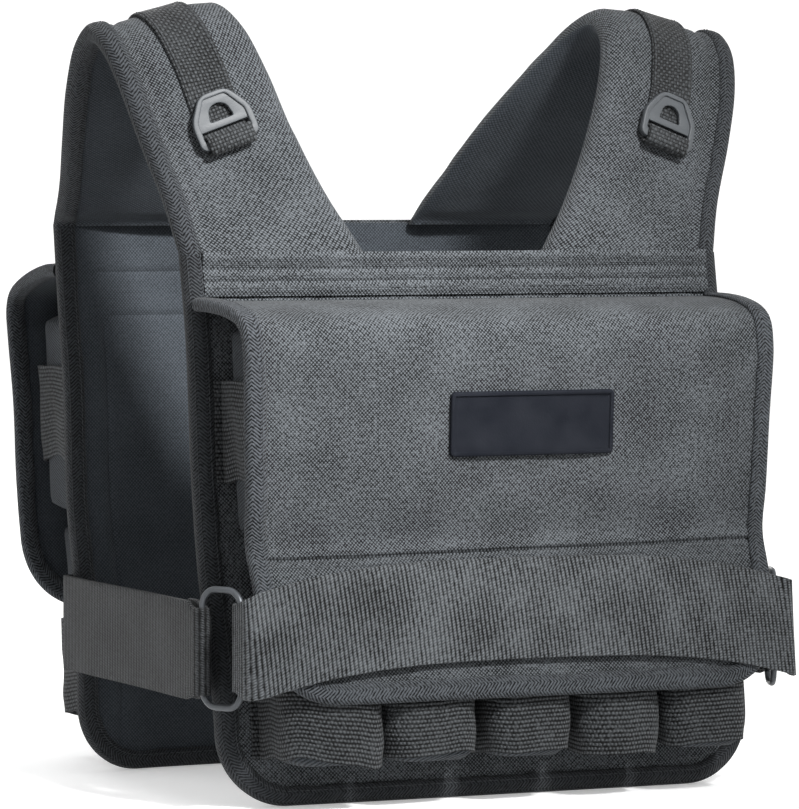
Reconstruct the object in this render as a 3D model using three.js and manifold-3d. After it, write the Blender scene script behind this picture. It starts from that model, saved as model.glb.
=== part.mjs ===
// Weighted vest: a front and a back panel, padded and bound, joined by two padded shoulder straps
// and a belt. Each panel carries a pack of covered weight bars, held by webbing loops under a flap.
// Millimetres, +Z up, the front faces -Y. The origin is at the middle of the vest's box, on the floor.
import * as THREE from "three";
import { mergeVertices } from "three/addons/utils/BufferGeometryUtils.js";
import Module from "manifold-3d";

// Driving dimensions: panels
const panelWidthAtFoot = 293;
const panelWidthAtTop = 298;
const panelThickness = 9;
const panelCorner = 36;
const frontHeight = 268;
const backHeight = 282;
const frontFoot = 91; // from the middle of the vest to the front panel's middle layer, at the floor
const backFoot = 84;
const frontLean = -40; // how far a panel's top stands out past its foot
const backLean = 26;
const frontBow = 3; // how far the middle of a panel stands out past its side edges
const backBow = 12;
const yokeHeight = 20;
const yokeThickness = 2.4;

// Driving dimensions: cloth edges and clearance
const clearance = 0.5; // between pieces that touch
const bindingWidth = 10;
const bindingWall = 1.4;

// Driving dimensions: weight packs
const barColumns = 5;
const barPitch = 51.5;
const barWidth = 46;
const frontBarDepth = 40;
const backBarDepth = 68;
const barHeight = 101;
const barFoot = 23;
const barRowGap = 8;
const barCorner = 9;
const loopHeight = 50;
const loopThickness = 1.6;
const loopTab = 4;
const lowerLoopRise = 1; // from the foot of the lower bars to their loops
const upperLoopRise = 25;

// Driving dimensions: flaps and the patch
const flapWidthAtTop = 296;
const flapWidthAtHem = 284;
const flapStraight = 62; // the flap's lowest stretch, which keeps its width at the hem
const flapThickness = 3;
const flapCorner = 38;
const frontFlapHem = 53;
const backFlapHem = 78;
const patchWidth = 90;
const patchHeight = 32;
const patchThickness = 2;
const patchRim = 2.2;
const patchRecess = 0.7;
const patchRise = 186; // its middle above the floor
const patchShift = 8; // its middle to the wearer's left of the vest's middle

// Driving dimensions: shoulder straps
const strapCrest = 381;
const strapCrestDepth = 4; // the crest stands this far in front of the middle
const strapCrestInner = 103;
const strapCrestOuter = 178;
const strapTilt = 4; // rise of the inner edge over the middle at the crest
const frontNeck = 50; // half the neck opening at each panel's top
const backNeck = 56;
const strapPad = 13;
const strapEdge = 7;
const shoulderWebWidth = 25;
const shoulderWebThickness = 1.8;
const shoulderWebShare = 0.48; // its middle, as a share of the strap from the inner edge

// Driving dimensions: D-rings
const ringRise = 58; // from the strap's front end to the D-ring's foot
const dRingWidth = 32;
const dRingHeight = 27;
const dRingShoulder = 15;
const dRingTop = 15;
const dRingThickness = 3.2;
const dRingFootBar = 4.5;
const dRingSlot = 4.6;
const dRingHoleWidth = 13;
const dRingHoleHeight = 8.5;
const dRingBridge = 3.6;

// Driving dimensions: belt, side straps and wire rings
const beltWidth = 46;
const beltThickness = 2.4;
const beltMiddle = 96; // height of the belt's middle at the vest's middle
const beltEnd = 80.5; // height of its middle at the wire rings
const beltCorner = 7; // radius round the flap's corner
const beltTuck = 9;
const sideStrapMiddle = 77.5;
const sideStrapSewn = 13;
const sideStrapTuck = 22;
const sideStrapFold = 1; // inner radius round the back panel's edge, past the clearance
const wireDiameter = 3.2;
const wireRingWidth = 26; // between the middles of the wire's two long sides
const wireRingHeight = 59; // between the middles of its two short sides
const wireRingCorner = 5;
const wireRingMiddle = 79.5;
const wireRingTurn = 22.5; // degrees by which the ring follows the corner of the vest
const wireRingGap = 3.4; // from the flap's side to the ring's nearest wire
const wireRingSetback = 17; // from the belt's front to the ring's nearest wire

// Side view of each panel: share of its height, and share of its lean there
const FRONT_PROFILE = [
  { height: 0, lean: 0 },
  { height: 0.17, lean: 0.1 },
  { height: 0.45, lean: 0.56 },
  { height: 0.6, lean: 0.7 },
  { height: 0.86, lean: 0.83 },
  { height: 1, lean: 1 },
];
const BACK_PROFILE = [
  { height: 0, lean: 0 },
  { height: 0.35, lean: 0.12 },
  { height: 0.46, lean: 0.4 },
  { height: 0.71, lean: 0.58 },
  { height: 0.85, lean: 0.8 },
  { height: 1, lean: 1 },
];
const BOW_POWER = 4;
const BELT_POWER = 3; // how flat the belt runs before it falls to the rings

// Where a panel or a flap has its lengthwise edges: shares of half its width
const ACROSS = [0, 0.35, 0.6, 0.8, 0.93, 1];
const CORNER_STEPS = 4;
const BEND_STEPS = 1;
const FLAP_STEPS = 12;
const STRAP_STEPS = 16;
const FOLD_STEPS = 6; // round a ring's wire or bar
const SLOT_STEPS = 2;
const ARCH_STEPS = 6;
const BELT_STEPS = 6; // from the middle of the belt to its corner
const BELT_TURN_STEPS = 4;
const STRAP_TURN_STEPS = 3;
const WEBBING_STEPS = 4; // over the width of webbing that stands on edge
const WIRE_SIDES = 6;
const WIRE_STEPS = 16;

// Limits in the working of shapes
const leastStep = 1; // stations along a piece stay this far apart
const doubledPoint = 0.001; // points closer than this are one
const MITRE_LIMIT = 0.5; // a bent strip widens at most to its thickness over this
const UPRIGHT_SHARE = 0.06; // the share of the strap that turns from upright at each end
const SHELF_SHARE = 0.3; // a flap's cover is looked for past this share of its route
const HALVINGS = 30;

// Side view of each flap: share of the pack's depth, and share of the drop from its top to its hem
const FRONT_FLAP = [
  { reach: 0, drop: 0 },
  { reach: 0.35, drop: 0.002 },
  { reach: 0.7, drop: 0.01 },
  { reach: 1.02, drop: 0.028 },
  { reach: 1.17, drop: 0.055 },
  { reach: 1.21, drop: 0.1 },
  { reach: 1.2, drop: 0.16 },
  { reach: 1.12, drop: 0.3 },
  { reach: 1.02, drop: 0.48 },
  { reach: 0.9, drop: 0.6 },
  { reach: 0.98, drop: 0.7 },
  { reach: 1.02, drop: 0.82 },
  { reach: 1.02, drop: 1 },
];
const BACK_FLAP = [
  { reach: 0, drop: 0 },
  { reach: 0.25, drop: 0.004 },
  { reach: 0.6, drop: 0.03 },
  { reach: 0.9, drop: 0.07 },
  { reach: 1.01, drop: 0.12 },
  { reach: 1.03, drop: 0.2 },
  { reach: 1.02, drop: 0.4 },
  { reach: 1.03, drop: 0.65 },
  { reach: 1.03, drop: 0.85 },
  { reach: 1.02, drop: 1 },
];

// Shoulder strap from a panel's top to the crest: shares of the rise, of the way to the crest's depth,
// and of the way from the end's inner and outer edges to the crest's
const FRONT_STRAP = [
  { rise: 0, run: 0, inner: 0, outer: 0, tilt: 0 },
  { rise: 0.22, run: 0.12, inner: 0.3, outer: 0.2, tilt: 0 },
  { rise: 0.5, run: 0.26, inner: 0.6, outer: 0.55, tilt: 0.2 },
  { rise: 0.76, run: 0.42, inner: 0.82, outer: 0.82, tilt: 0.6 },
  { rise: 0.93, run: 0.66, inner: 0.95, outer: 0.96, tilt: 0.9 },
];
const STRAP_CREST = { rise: 1, run: 1, inner: 1, outer: 1, tilt: 1 };
const BACK_STRAP = [
  { rise: 0.93, run: 0.84, inner: 0.9, outer: 0.97, tilt: 1.3 },
  { rise: 0.74, run: 0.68, inner: 0.66, outer: 0.86, tilt: 1.5 },
  { rise: 0.46, run: 0.44, inner: 0.36, outer: 0.55, tilt: 1.2 },
  { rise: 0.2, run: 0.2, inner: 0.14, outer: 0.22, tilt: 0.5 },
  { rise: 0, run: 0, inner: 0, outer: 0, tilt: 0 },
];

// Section of a shoulder strap's pad: share of its width from the inner edge, and its upper and lower
// faces as shares of the pad's thickness
const STRAP_SECTION = [
  { across: 0, upper: 0.18, lower: -0.12 },
  { across: 0.03, upper: 0.52, lower: -0.3 },
  { across: 0.11, upper: 0.7, lower: -0.34 },
  { across: 0.26, upper: 0.7, lower: -0.34 },
  { across: 0.72, upper: 0.34, lower: -0.3 },
  { across: 0.84, upper: 0.27, lower: -0.27 },
];

// The D-ring's hole: share of its width at the foot of its round top, and share of its height there
const D_RING_ARCH = { width: 0.8, foot: 0.45 };

// A bar's rounded ends: share of its height, and share of its full section there
const BAR_ENDS = [
  { height: 0, size: 0.86 },
  { height: 0.06, size: 1 },
  { height: 0.94, size: 1 },
  { height: 1, size: 0.86 },
];

// Colours as seen on the lit cloth, and how each finish takes light
const clothMaterial = new THREE.MeshStandardMaterial({ color: 0x464b50, roughness: 0.92 });
const bindingMaterial = new THREE.MeshStandardMaterial({ color: 0x34383d, roughness: 0.9 });
const barMaterial = new THREE.MeshStandardMaterial({ color: 0x2c3136, roughness: 0.88 });
const webbingMaterial = new THREE.MeshStandardMaterial({ color: 0x33373b, roughness: 0.8 });
const patchMaterial = new THREE.MeshStandardMaterial({ color: 0x23262a, roughness: 0.7 });
const plasticMaterial = new THREE.MeshStandardMaterial({ color: 0x3a3f44, roughness: 0.45 });
const wireMaterial = new THREE.MeshStandardMaterial({ color: 0x6a7076, roughness: 0.4, metalness: 0.8 });

const wasm = await Module();
wasm.setup();
const vest = new THREE.Group();

// What a panel needs to know about itself
const FRONT = {
  name: "front",
  facing: -1,
  height: frontHeight,
  foot: frontFoot,
  lean: frontLean,
  bow: frontBow,
  profile: FRONT_PROFILE,
  barDepth: frontBarDepth,
  flapRows: FRONT_FLAP,
  flapHem: frontFlapHem,
};
const BACK = {
  name: "back",
  facing: 1,
  height: backHeight,
  foot: backFoot,
  lean: backLean,
  bow: backBow,
  profile: BACK_PROFILE,
  barDepth: backBarDepth,
  flapRows: BACK_FLAP,
  flapHem: backFlapHem,
};

const mix = THREE.MathUtils.lerp;

// Reads a column of a table at a value of its first column, on straight lines between the rows.
function read(table, column, at) {
  const key = Object.keys(table[0])[0];
  let i = 0;
  while (i < table.length - 2 && table[i + 1][key] < at) i += 1;
  const share = (at - table[i][key]) / (table[i + 1][key] - table[i][key]);
  return mix(table[i][column], table[i + 1][column], share);
}

// Evenly spaced values from one number to another, both included.
function spread(from, to, steps) {
  return Array.from({ length: steps + 1 }, (_, i) => mix(from, to, i / steps));
}

// Merges the doubled points of a closed mesh and turns its faces outwards.
function closed(geometry) {
  for (const name of ["normal", "uv"]) geometry.deleteAttribute(name);
  const merged = mergeVertices(geometry, doubledPoint);
  const points = merged.getAttribute("position");
  const index = merged.getIndex();
  const [a, b, c] = [new THREE.Vector3(), new THREE.Vector3(), new THREE.Vector3()];
  let volume = 0;
  for (let i = 0; i < index.count; i += 3) {
    a.fromBufferAttribute(points, index.getX(i));
    b.fromBufferAttribute(points, index.getX(i + 1));
    c.fromBufferAttribute(points, index.getX(i + 2));
    volume += a.dot(b.cross(c));
  }
  if (volume < 0) index.array.reverse();
  merged.computeVertexNormals();
  return merged;
}

// Triangles that fill a section: a strip between the first and the second half of its outline, so
// that a bent end stays inside the outline, or a flat filling where it has holes.
function fill(outline, holes) {
  if (holes.length > 0) return THREE.ShapeUtils.triangulateShape(outline, holes);
  const last = outline.length - 1;
  return Array.from({ length: outline.length / 2 - 1 }, (_, i) => [
    [i, i + 1, last - 1 - i],
    [i, last - 1 - i, last - i],
  ]).flat();
}

// A section carried through stations: place says where a section's point lies at each station. Its
// outline runs anticlockwise, and its holes clockwise.
function carry(section, stations, place) {
  const { shape, holes } = section.extractPoints(1);
  const loops = [shape, ...holes];
  const flat = loops.flat();
  const points = stations.flatMap((station) => flat.map((p) => place(station, p.x, p.y)));
  const index = [];
  for (let s = 0; s < stations.length - 1; s += 1) {
    let first = s * flat.length;
    for (const loop of loops) {
      for (let i = 0; i < loop.length; i += 1) {
        const a = first + i;
        const b = first + ((i + 1) % loop.length);
        index.push(a, b, b + flat.length, a, b + flat.length, a + flat.length);
      }
      first += loop.length;
    }
  }
  const last = (stations.length - 1) * flat.length;
  for (const [a, b, c] of fill(shape, holes)) index.push(a, c, b, last + a, last + b, last + c);
  const geometry = new THREE.BufferGeometry().setFromPoints(points);
  geometry.setIndex(index);
  return closed(geometry);
}

// Adds a piece to the vest.
function piece(name, geometry, material) {
  const mesh = new THREE.Mesh(geometry, material);
  mesh.name = name;
  vest.add(mesh);
}

// The same piece on the wearer's other side.
function mirrored(geometry) {
  return closed(geometry.clone().applyMatrix4(new THREE.Matrix4().makeScale(-1, 1, 1)));
}

// Half the width of a panel, edge binding included, at a height above the floor.
function panelHalf(side, z) {
  return mix(panelWidthAtFoot, panelWidthAtTop, z / side.height) / 2;
}

// How far a panel's middle layer stands out at a height.
function panelOut(side, z) {
  return side.foot + side.lean * read(side.profile, "lean", z / side.height);
}

// How much further it stands out at a distance x from the vest's middle.
function bowOut(side, x) {
  const share = Math.min(Math.abs(x) / (panelWidthAtTop / 2), 1);
  return side.bow * (1 - share ** BOW_POWER);
}

// Heights from one to another, with those between them at which the panel's lean changes, so that
// what lies on a panel bends where the panel does.
function levels(side, from, to, others = []) {
  const bends = side.profile.map((row) => row.height * side.height);
  const inside = [...bends, ...others].filter((z) => z > from + leastStep && z < to - leastStep);
  return [from, ...inside.sort((a, b) => a - b), to];
}

// A point at x and height z, lying a distance b outside a panel's middle layer.
function onPanel(side, x, z, b) {
  return new THREE.Vector3(x, side.facing * (panelOut(side, z) + bowOut(side, x) + b), z);
}

// A closed band in the plane of a section: y from low to high, x at shares of half its width.
function bandSection(low, high, shares) {
  const across = [...shares.slice(1).map((share) => -share).reverse(), ...shares];
  const lower = across.map((x) => new THREE.Vector2(x, low));
  const upper = across.map((x) => new THREE.Vector2(-x, high));
  return new THREE.Shape([...lower, ...upper]);
}

// Rows of a tongue: its sides are straight at the stops and its lower corners round. Each row has
// v, the way down from the top, and half its width there.
function tongueRows(stops, halfAt, corner, inset) {
  const start = stops.at(-1);
  const straight = stops.map((v) => ({ v, half: halfAt(v) - inset }));
  const round = spread(0, Math.PI / 2, CORNER_STEPS).slice(1).map((turn) => ({
    v: start + (corner - inset) * Math.sin(turn),
    half: halfAt(start) - corner + (corner - inset) * Math.cos(turn),
  }));
  return [...straight, ...round];
}

// The route round a tongue's edge, from its top left down and up to its top right. Each stop has
// its point (u, v) and the inward direction there.
function tongueEdge(stops, halfAt, corner) {
  const start = stops.at(-1);
  const length = start + corner;
  const left = stops.map((v) => ({ u: -halfAt(v), v, inU: 1, inV: 0 }));
  const round = spread(0, Math.PI / 2, CORNER_STEPS).slice(1).map((turn) => ({
    u: -(halfAt(start) - corner) - corner * Math.cos(turn),
    v: start + corner * Math.sin(turn),
    inU: Math.cos(turn),
    inV: -Math.sin(turn),
  }));
  const foot = ACROSS.slice(1, -1).reverse().map((share) => ({
    u: -share * (halfAt(start) - corner),
    v: length,
    inU: 0,
    inV: -1,
  }));
  const middle = { u: 0, v: length, inU: 0, inV: -1 };
  const before = [...left, ...round, ...foot];
  const after = before.map((stop) => ({ ...stop, u: -stop.u, inU: -stop.inU })).reverse();
  return [...before, middle, ...after];
}

// The binding's section: a channel that closes round an edge of the given thickness.
function bindingSection(thickness) {
  const outer = thickness / 2 + clearance + bindingWall;
  const inner = thickness / 2 + clearance;
  return new THREE.Shape([
    new THREE.Vector2(bindingWidth, outer),
    new THREE.Vector2(0, outer),
    new THREE.Vector2(0, -outer),
    new THREE.Vector2(bindingWidth, -outer),
    new THREE.Vector2(bindingWidth, -inner),
    new THREE.Vector2(bindingWall, -inner),
    new THREE.Vector2(bindingWall, inner),
    new THREE.Vector2(bindingWidth, inner),
  ]);
}

// Panels, their bindings and the stitched yoke across each top.
function buildPanel(side) {
  const halfAt = (v) => panelHalf(side, side.height - v);
  const surface = (u, v, b) => onPanel(side, u, side.height - v, b);
  const inset = bindingWall + clearance;
  const stops = levels(side, panelCorner, side.height).map((z) => side.height - z).reverse();
  const rows = tongueRows(stops, halfAt, panelCorner, inset);
  const slab = bandSection(-panelThickness / 2, panelThickness / 2, ACROSS);
  piece(
    `${side.name}_panel`,
    carry(slab, rows, (row, x, b) => surface(x * row.half, row.v, b)),
    clothMaterial,
  );

  const edge = tongueEdge(stops, halfAt, panelCorner);
  piece(
    `${side.name}_panel_binding`,
    carry(bindingSection(panelThickness), edge, (stop, n, b) =>
      surface(stop.u + stop.inU * n, stop.v + stop.inV * n, b),
    ),
    bindingMaterial,
  );

  const yokeIn = panelThickness / 2 + clearance;
  const yoke = bandSection(yokeIn, yokeIn + yokeThickness, ACROSS.slice(0, -1));
  const yokeHalf = (panelHalf(side, side.height - yokeHeight) - bindingWidth - clearance) / ACROSS.at(-2);
  piece(
    `${side.name}_yoke`,
    carry(yoke, levels(side, side.height - yokeHeight, side.height), (z, x, b) =>
      onPanel(side, x * yokeHalf, z, b),
    ),
    clothMaterial,
  );
}

// The flap's route in side view, from the yoke over the pack and down to its hem.
function flapRoute(side) {
  const seat = panelThickness / 2 + bindingWall + 3 * clearance;
  const pack = side.barDepth + loopThickness + flapThickness / 2 + clearance;
  const top = side.height - yokeHeight - 2 * clearance - bindingWall - flapThickness / 2;
  const points = side.flapRows.map((row) => {
    const z = mix(top, side.flapHem, row.drop);
    return new THREE.Vector2(panelOut(side, z) + seat + row.reach * pack, z);
  });
  return new THREE.SplineCurve(points);
}

// A point on a flap: u across, v down the route, b outside its middle layer.
function onFlap(side, route, u, v, b) {
  const share = THREE.MathUtils.clamp(v / route.getLength(), 0, 1);
  const at = route.getPointAt(share);
  const along = route.getTangentAt(share);
  const out = at.x - along.y * b + bowOut(side, u);
  return new THREE.Vector3(u, side.facing * out, at.y + along.x * b);
}

// Half the width of a flap, edge binding included, at a distance down its route.
function flapHalf(route, v) {
  const share = Math.min(v / (route.getLength() - flapStraight), 1);
  return mix(flapWidthAtTop, flapWidthAtHem, share) / 2;
}

// Flaps: one bound sheet each, a shelf over the bars and then their cover.
function buildFlap(side) {
  const route = flapRoute(side);
  const length = route.getLength();
  const halfAt = (v) => flapHalf(route, v);
  const inset = bindingWall + clearance;
  const stops = spread(0, length - flapCorner, FLAP_STEPS);
  const rows = tongueRows(stops, halfAt, flapCorner, inset);
  const sheet = bandSection(-flapThickness / 2, flapThickness / 2, ACROSS);
  piece(
    `${side.name}_flap`,
    carry(sheet, rows, (row, x, b) => onFlap(side, route, x * row.half, row.v, b)),
    clothMaterial,
  );

  const edge = tongueEdge(stops, halfAt, flapCorner);
  piece(
    `${side.name}_flap_binding`,
    carry(bindingSection(flapThickness), edge, (stop, n, b) =>
      onFlap(side, route, stop.u + stop.inU * n, stop.v + stop.inV * n, b),
    ),
    bindingMaterial,
  );
}

// The patch on the front flap: a blank field with a raised rim.
function buildPatch() {
  const route = flapRoute(FRONT);
  const down = routeDistanceAt(route, patchRise);
  const seat = flapThickness / 2 + clearance;
  const slab = (width, height, low, high) =>
    carry(bandSection(low, high, [0, 1]), [-height / 2, 0, height / 2], (v, x, b) =>
      onFlap(FRONT, route, patchShift + (x * width) / 2, down + v, b),
    );
  const body = solid(slab(patchWidth, patchHeight, seat, seat + patchThickness));
  const field = solid(
    slab(
      patchWidth - 2 * patchRim,
      patchHeight - 2 * patchRim,
      seat + patchThickness - patchRecess,
      seat + 2 * patchThickness,
    ),
  );
  piece("front_patch", shell(body.subtract(field)), patchMaterial);
}

// The distance down a flap's route at which its outside reaches a height.
function routeDistanceAt(route, z) {
  const length = route.getLength();
  let low = length * SHELF_SHARE;
  let high = length;
  for (let i = 0; i < HALVINGS; i += 1) {
    const middle = (low + high) / 2;
    if (route.getPointAt(middle / length).y > z) low = middle;
    else high = middle;
  }
  return low;
}

// A closed mesh as a solid that can be cut, and back.
function solid(geometry) {
  return new wasm.Manifold(
    new wasm.Mesh({
      numProp: 3,
      vertProperties: geometry.getAttribute("position").array,
      triVerts: new Uint32Array(geometry.getIndex().array),
    }),
  );
}
function shell(cut) {
  const mesh = cut.getMesh();
  const geometry = new THREE.BufferGeometry();
  geometry.setAttribute("position", new THREE.BufferAttribute(mesh.vertProperties, 3));
  geometry.setIndex(new THREE.BufferAttribute(mesh.triVerts, 1));
  geometry.computeVertexNormals();
  return geometry;
}

// Middles of the columns of bars.
function columnMiddles() {
  const first = -((barColumns - 1) * barPitch) / 2;
  return Array.from({ length: barColumns }, (_, i) => first + i * barPitch);
}

// A round-cornered outline in x and depth, standing on the panel's outer face.
function barOutline(depth) {
  const seat = panelThickness / 2 + clearance;
  const half = barWidth / 2;
  const shape = new THREE.Shape();
  const corners = [
    [half - barCorner, seat + barCorner, -Math.PI / 2],
    [half - barCorner, seat + depth - barCorner, 0],
    [-half + barCorner, seat + depth - barCorner, Math.PI / 2],
    [-half + barCorner, seat + barCorner, Math.PI],
  ];
  const points = corners.flatMap(([x, y, from]) =>
    spread(from, from + Math.PI / 2, BEND_STEPS).map(
      (turn) => new THREE.Vector2(x + barCorner * Math.cos(turn), y + barCorner * Math.sin(turn)),
    ),
  );
  shape.setFromPoints(points);
  return shape;
}

// Weight bars: filled cloth sleeves that stand on the panel's outer face in two rows.
function buildBars(side) {
  const outline = barOutline(side.barDepth);
  const seat = panelThickness / 2 + clearance;
  const rows = { lower: barFoot, upper: barFoot + barHeight + barRowGap };
  for (const [row, foot] of Object.entries(rows)) {
    const ends = BAR_ENDS.map((end) => foot + end.height * barHeight);
    const stops = levels(side, foot, foot + barHeight, ends);
    columnMiddles().forEach((middle, i) => {
      const geometry = carry(outline, stops, (z, x, b) => {
        const size = read(BAR_ENDS, "size", (z - foot) / barHeight);
        return onPanel(side, middle + x * size, z, seat + (b - seat) * size);
      });
      piece(`${side.name}_${row}_bar_${i + 1}`, geometry, barMaterial);
    });
  }
}

// A loop strip's outline: over each bar and down to the panel between them, sewn there.
function loopOutline(depth) {
  const seat = panelThickness / 2 + clearance;
  const rise = (x, radius, top, half) => [
    ...turnRound(x - half + radius, top - radius, radius, Math.PI, Math.PI / 2, BEND_STEPS),
    ...turnRound(x + half - radius, top - radius, radius, Math.PI / 2, 0, BEND_STEPS),
  ];
  const innerHalf = barWidth / 2 + clearance;
  const outerHalf = innerHalf + loopThickness;
  const innerTop = seat + depth + clearance;
  const outerTop = innerTop + loopThickness;
  const middles = columnMiddles();
  const end = middles[middles.length - 1] + outerHalf + loopTab;
  const outer = [new THREE.Vector2(-end, seat + loopThickness)];
  const inner = [new THREE.Vector2(end, seat)];
  for (const middle of middles) {
    outer.push(new THREE.Vector2(middle - outerHalf, seat + loopThickness));
    outer.push(...rise(middle, barCorner + loopThickness, outerTop, outerHalf));
    outer.push(new THREE.Vector2(middle + outerHalf, seat + loopThickness));
  }
  for (const middle of [...middles].reverse()) {
    inner.push(new THREE.Vector2(middle + innerHalf, seat));
    inner.push(...rise(middle, barCorner, innerTop, innerHalf).reverse());
    inner.push(new THREE.Vector2(middle - innerHalf, seat));
  }
  outer.push(new THREE.Vector2(end, seat + loopThickness));
  inner.push(new THREE.Vector2(-end, seat));
  return new THREE.Shape([...outer, ...inner]);
}

// Webbing loops: one strip for each row of bars.
function buildLoops(side) {
  const outline = loopOutline(side.barDepth);
  const feet = {
    lower: barFoot + lowerLoopRise,
    upper: barFoot + barHeight + barRowGap + upperLoopRise,
  };
  for (const [row, foot] of Object.entries(feet)) {
    const stops = levels(side, foot, foot + loopHeight);
    const strip = carry(outline, stops, (z, x, b) => onPanel(side, x, z, b));
    piece(`${side.name}_${row}_loops`, strip, webbingMaterial);
  }
}

// The two edges of the wearer's left strap as curves from the front panel's top to the back's.
function strapRails() {
  const crestY = -strapCrestDepth;
  const halfAtTop = panelWidthAtTop / 2;
  const stop = (row, side, neck) => {
    const start = side.height + clearance;
    const startY = side.facing * panelOut(side, side.height);
    const rise = mix(start, strapCrest, row.rise);
    const y = mix(startY, crestY, row.run);
    const lift = strapTilt * row.tilt;
    return {
      inner: new THREE.Vector3(mix(neck, strapCrestInner, row.inner), y, rise + lift),
      outer: new THREE.Vector3(mix(halfAtTop, strapCrestOuter, row.outer), y, rise - lift),
    };
  };
  const stops = [
    ...FRONT_STRAP.map((row) => stop(row, FRONT, frontNeck)),
    stop(STRAP_CREST, FRONT, frontNeck),
    ...BACK_STRAP.map((row) => stop(row, BACK, backNeck)),
  ];
  return {
    inner: new THREE.CatmullRomCurve3(stops.map((s) => s.inner)),
    outer: new THREE.CatmullRomCurve3(stops.map((s) => s.outer)),
    middle: new THREE.CatmullRomCurve3(stops.map((s) => s.inner.clone().lerp(s.outer, 0.5))),
  };
}

// Frames along the strap: its inner and outer edge, the way out and the distance from the front
// end. At both ends the strap stands upright on its panel.
function strapFrames(rails) {
  const lengths = rails.middle.getLengths(STRAP_STEPS);
  return spread(0, 1, STRAP_STEPS).map((t, i) => {
    const inner = rails.inner.getPoint(t);
    const outer = rails.outer.getPoint(t);
    const upright = new THREE.Vector3(0, 0, t < 0.5 ? 1 : -1);
    const blend = THREE.MathUtils.smoothstep(Math.min(t, 1 - t), 0, UPRIGHT_SHARE);
    const along = upright.lerp(rails.middle.getTangent(t), blend);
    const out = outer.clone().sub(inner).cross(along).normalize();
    return { inner, outer, out, distance: lengths[i] };
  });
}

// The frame at a distance from the strap's front end, on straight lines between the frames.
function frameAt(frames, distance) {
  let i = 0;
  while (i < frames.length - 2 && frames[i + 1].distance < distance) i += 1;
  const [low, high] = [frames[i], frames[i + 1]];
  const share = (distance - low.distance) / (high.distance - low.distance);
  return {
    inner: low.inner.clone().lerp(high.inner, share),
    outer: low.outer.clone().lerp(high.outer, share),
    out: low.out.clone().lerp(high.out, share),
  };
}

// A point on a frame, across from its inner edge and out from its middle layer.
function onFrame(frame, across, b) {
  const way = frame.outer.clone().sub(frame.inner).normalize();
  return frame.inner.clone().addScaledVector(way, across).addScaledVector(frame.out, b);
}

// Shoulder straps and the bindings of their outer edges.
function buildStraps(frames) {
  const widthOf = (frame) => frame.outer.distanceTo(frame.inner);
  const rows = STRAP_SECTION.length;
  const points = [];
  STRAP_SECTION.forEach((_, i) => points.push(new THREE.Vector2(i, -1)));
  points.push(new THREE.Vector2(rows, -1));
  points.push(new THREE.Vector2(rows + 1, -1));
  const upper = points.map((p) => new THREE.Vector2(p.x, 1)).reverse();
  const section = new THREE.Shape([...points, ...upper]);
  const pad = carry(section, frames, (frame, i, face) => {
    const width = widthOf(frame);
    if (i < rows) {
      const row = STRAP_SECTION[i];
      return onFrame(frame, row.across * width, strapPad * (face > 0 ? row.upper : row.lower));
    }
    const margin = clearance + (i === rows ? bindingWidth : bindingWall);
    return onFrame(frame, width - margin, (face * strapEdge) / 2);
  });
  piece("left_shoulder_strap", pad, clothMaterial);
  piece("right_shoulder_strap", mirrored(pad), clothMaterial);

  const binding = carry(bindingSection(strapEdge), frames, (frame, n, b) =>
    onFrame(frame, widthOf(frame) - n, b),
  );
  piece("left_strap_binding", binding, bindingMaterial);
  piece("right_strap_binding", mirrored(binding), bindingMaterial);
}

// A point over the strap's upper face: d along it from its front end, w from the webbing's middle,
// b above the cloth.
function overStrap(frames, d, w, b) {
  const frame = frameAt(frames, d);
  const width = frame.outer.distanceTo(frame.inner);
  const across = shoulderWebShare * width + w;
  const upper = read(STRAP_SECTION, "upper", across / width);
  return onFrame(frame, across, strapPad * upper + b);
}

// The outline of a strip of some thickness laid along a route of points in a plane.
function ribbonOutline(route, thickness) {
  const sideOf = (sign) =>
    route.map((point, i) => {
      const before = route[Math.max(i - 1, 0)];
      const after = route[Math.min(i + 1, route.length - 1)];
      const first = point.clone().sub(before);
      const second = after.clone().sub(point);
      if (i === 0) first.copy(second);
      if (i === route.length - 1) second.copy(first);
      const along = first.normalize().clone().add(second.normalize()).normalize();
      const reach = thickness / 2 / Math.max(along.dot(first), MITRE_LIMIT);
      return new THREE.Vector2(point.x - along.y * sign * reach, point.y + along.x * sign * reach);
    });
  return new THREE.Shape([...sideOf(1), ...sideOf(-1).reverse()]);
}

// Points of a quarter or half turn about a middle, in a plane.
function turnRound(x, y, radius, from, to, steps) {
  return spread(from, to, steps).map(
    (turn) => new THREE.Vector2(x + radius * Math.cos(turn), y + radius * Math.sin(turn)),
  );
}

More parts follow.
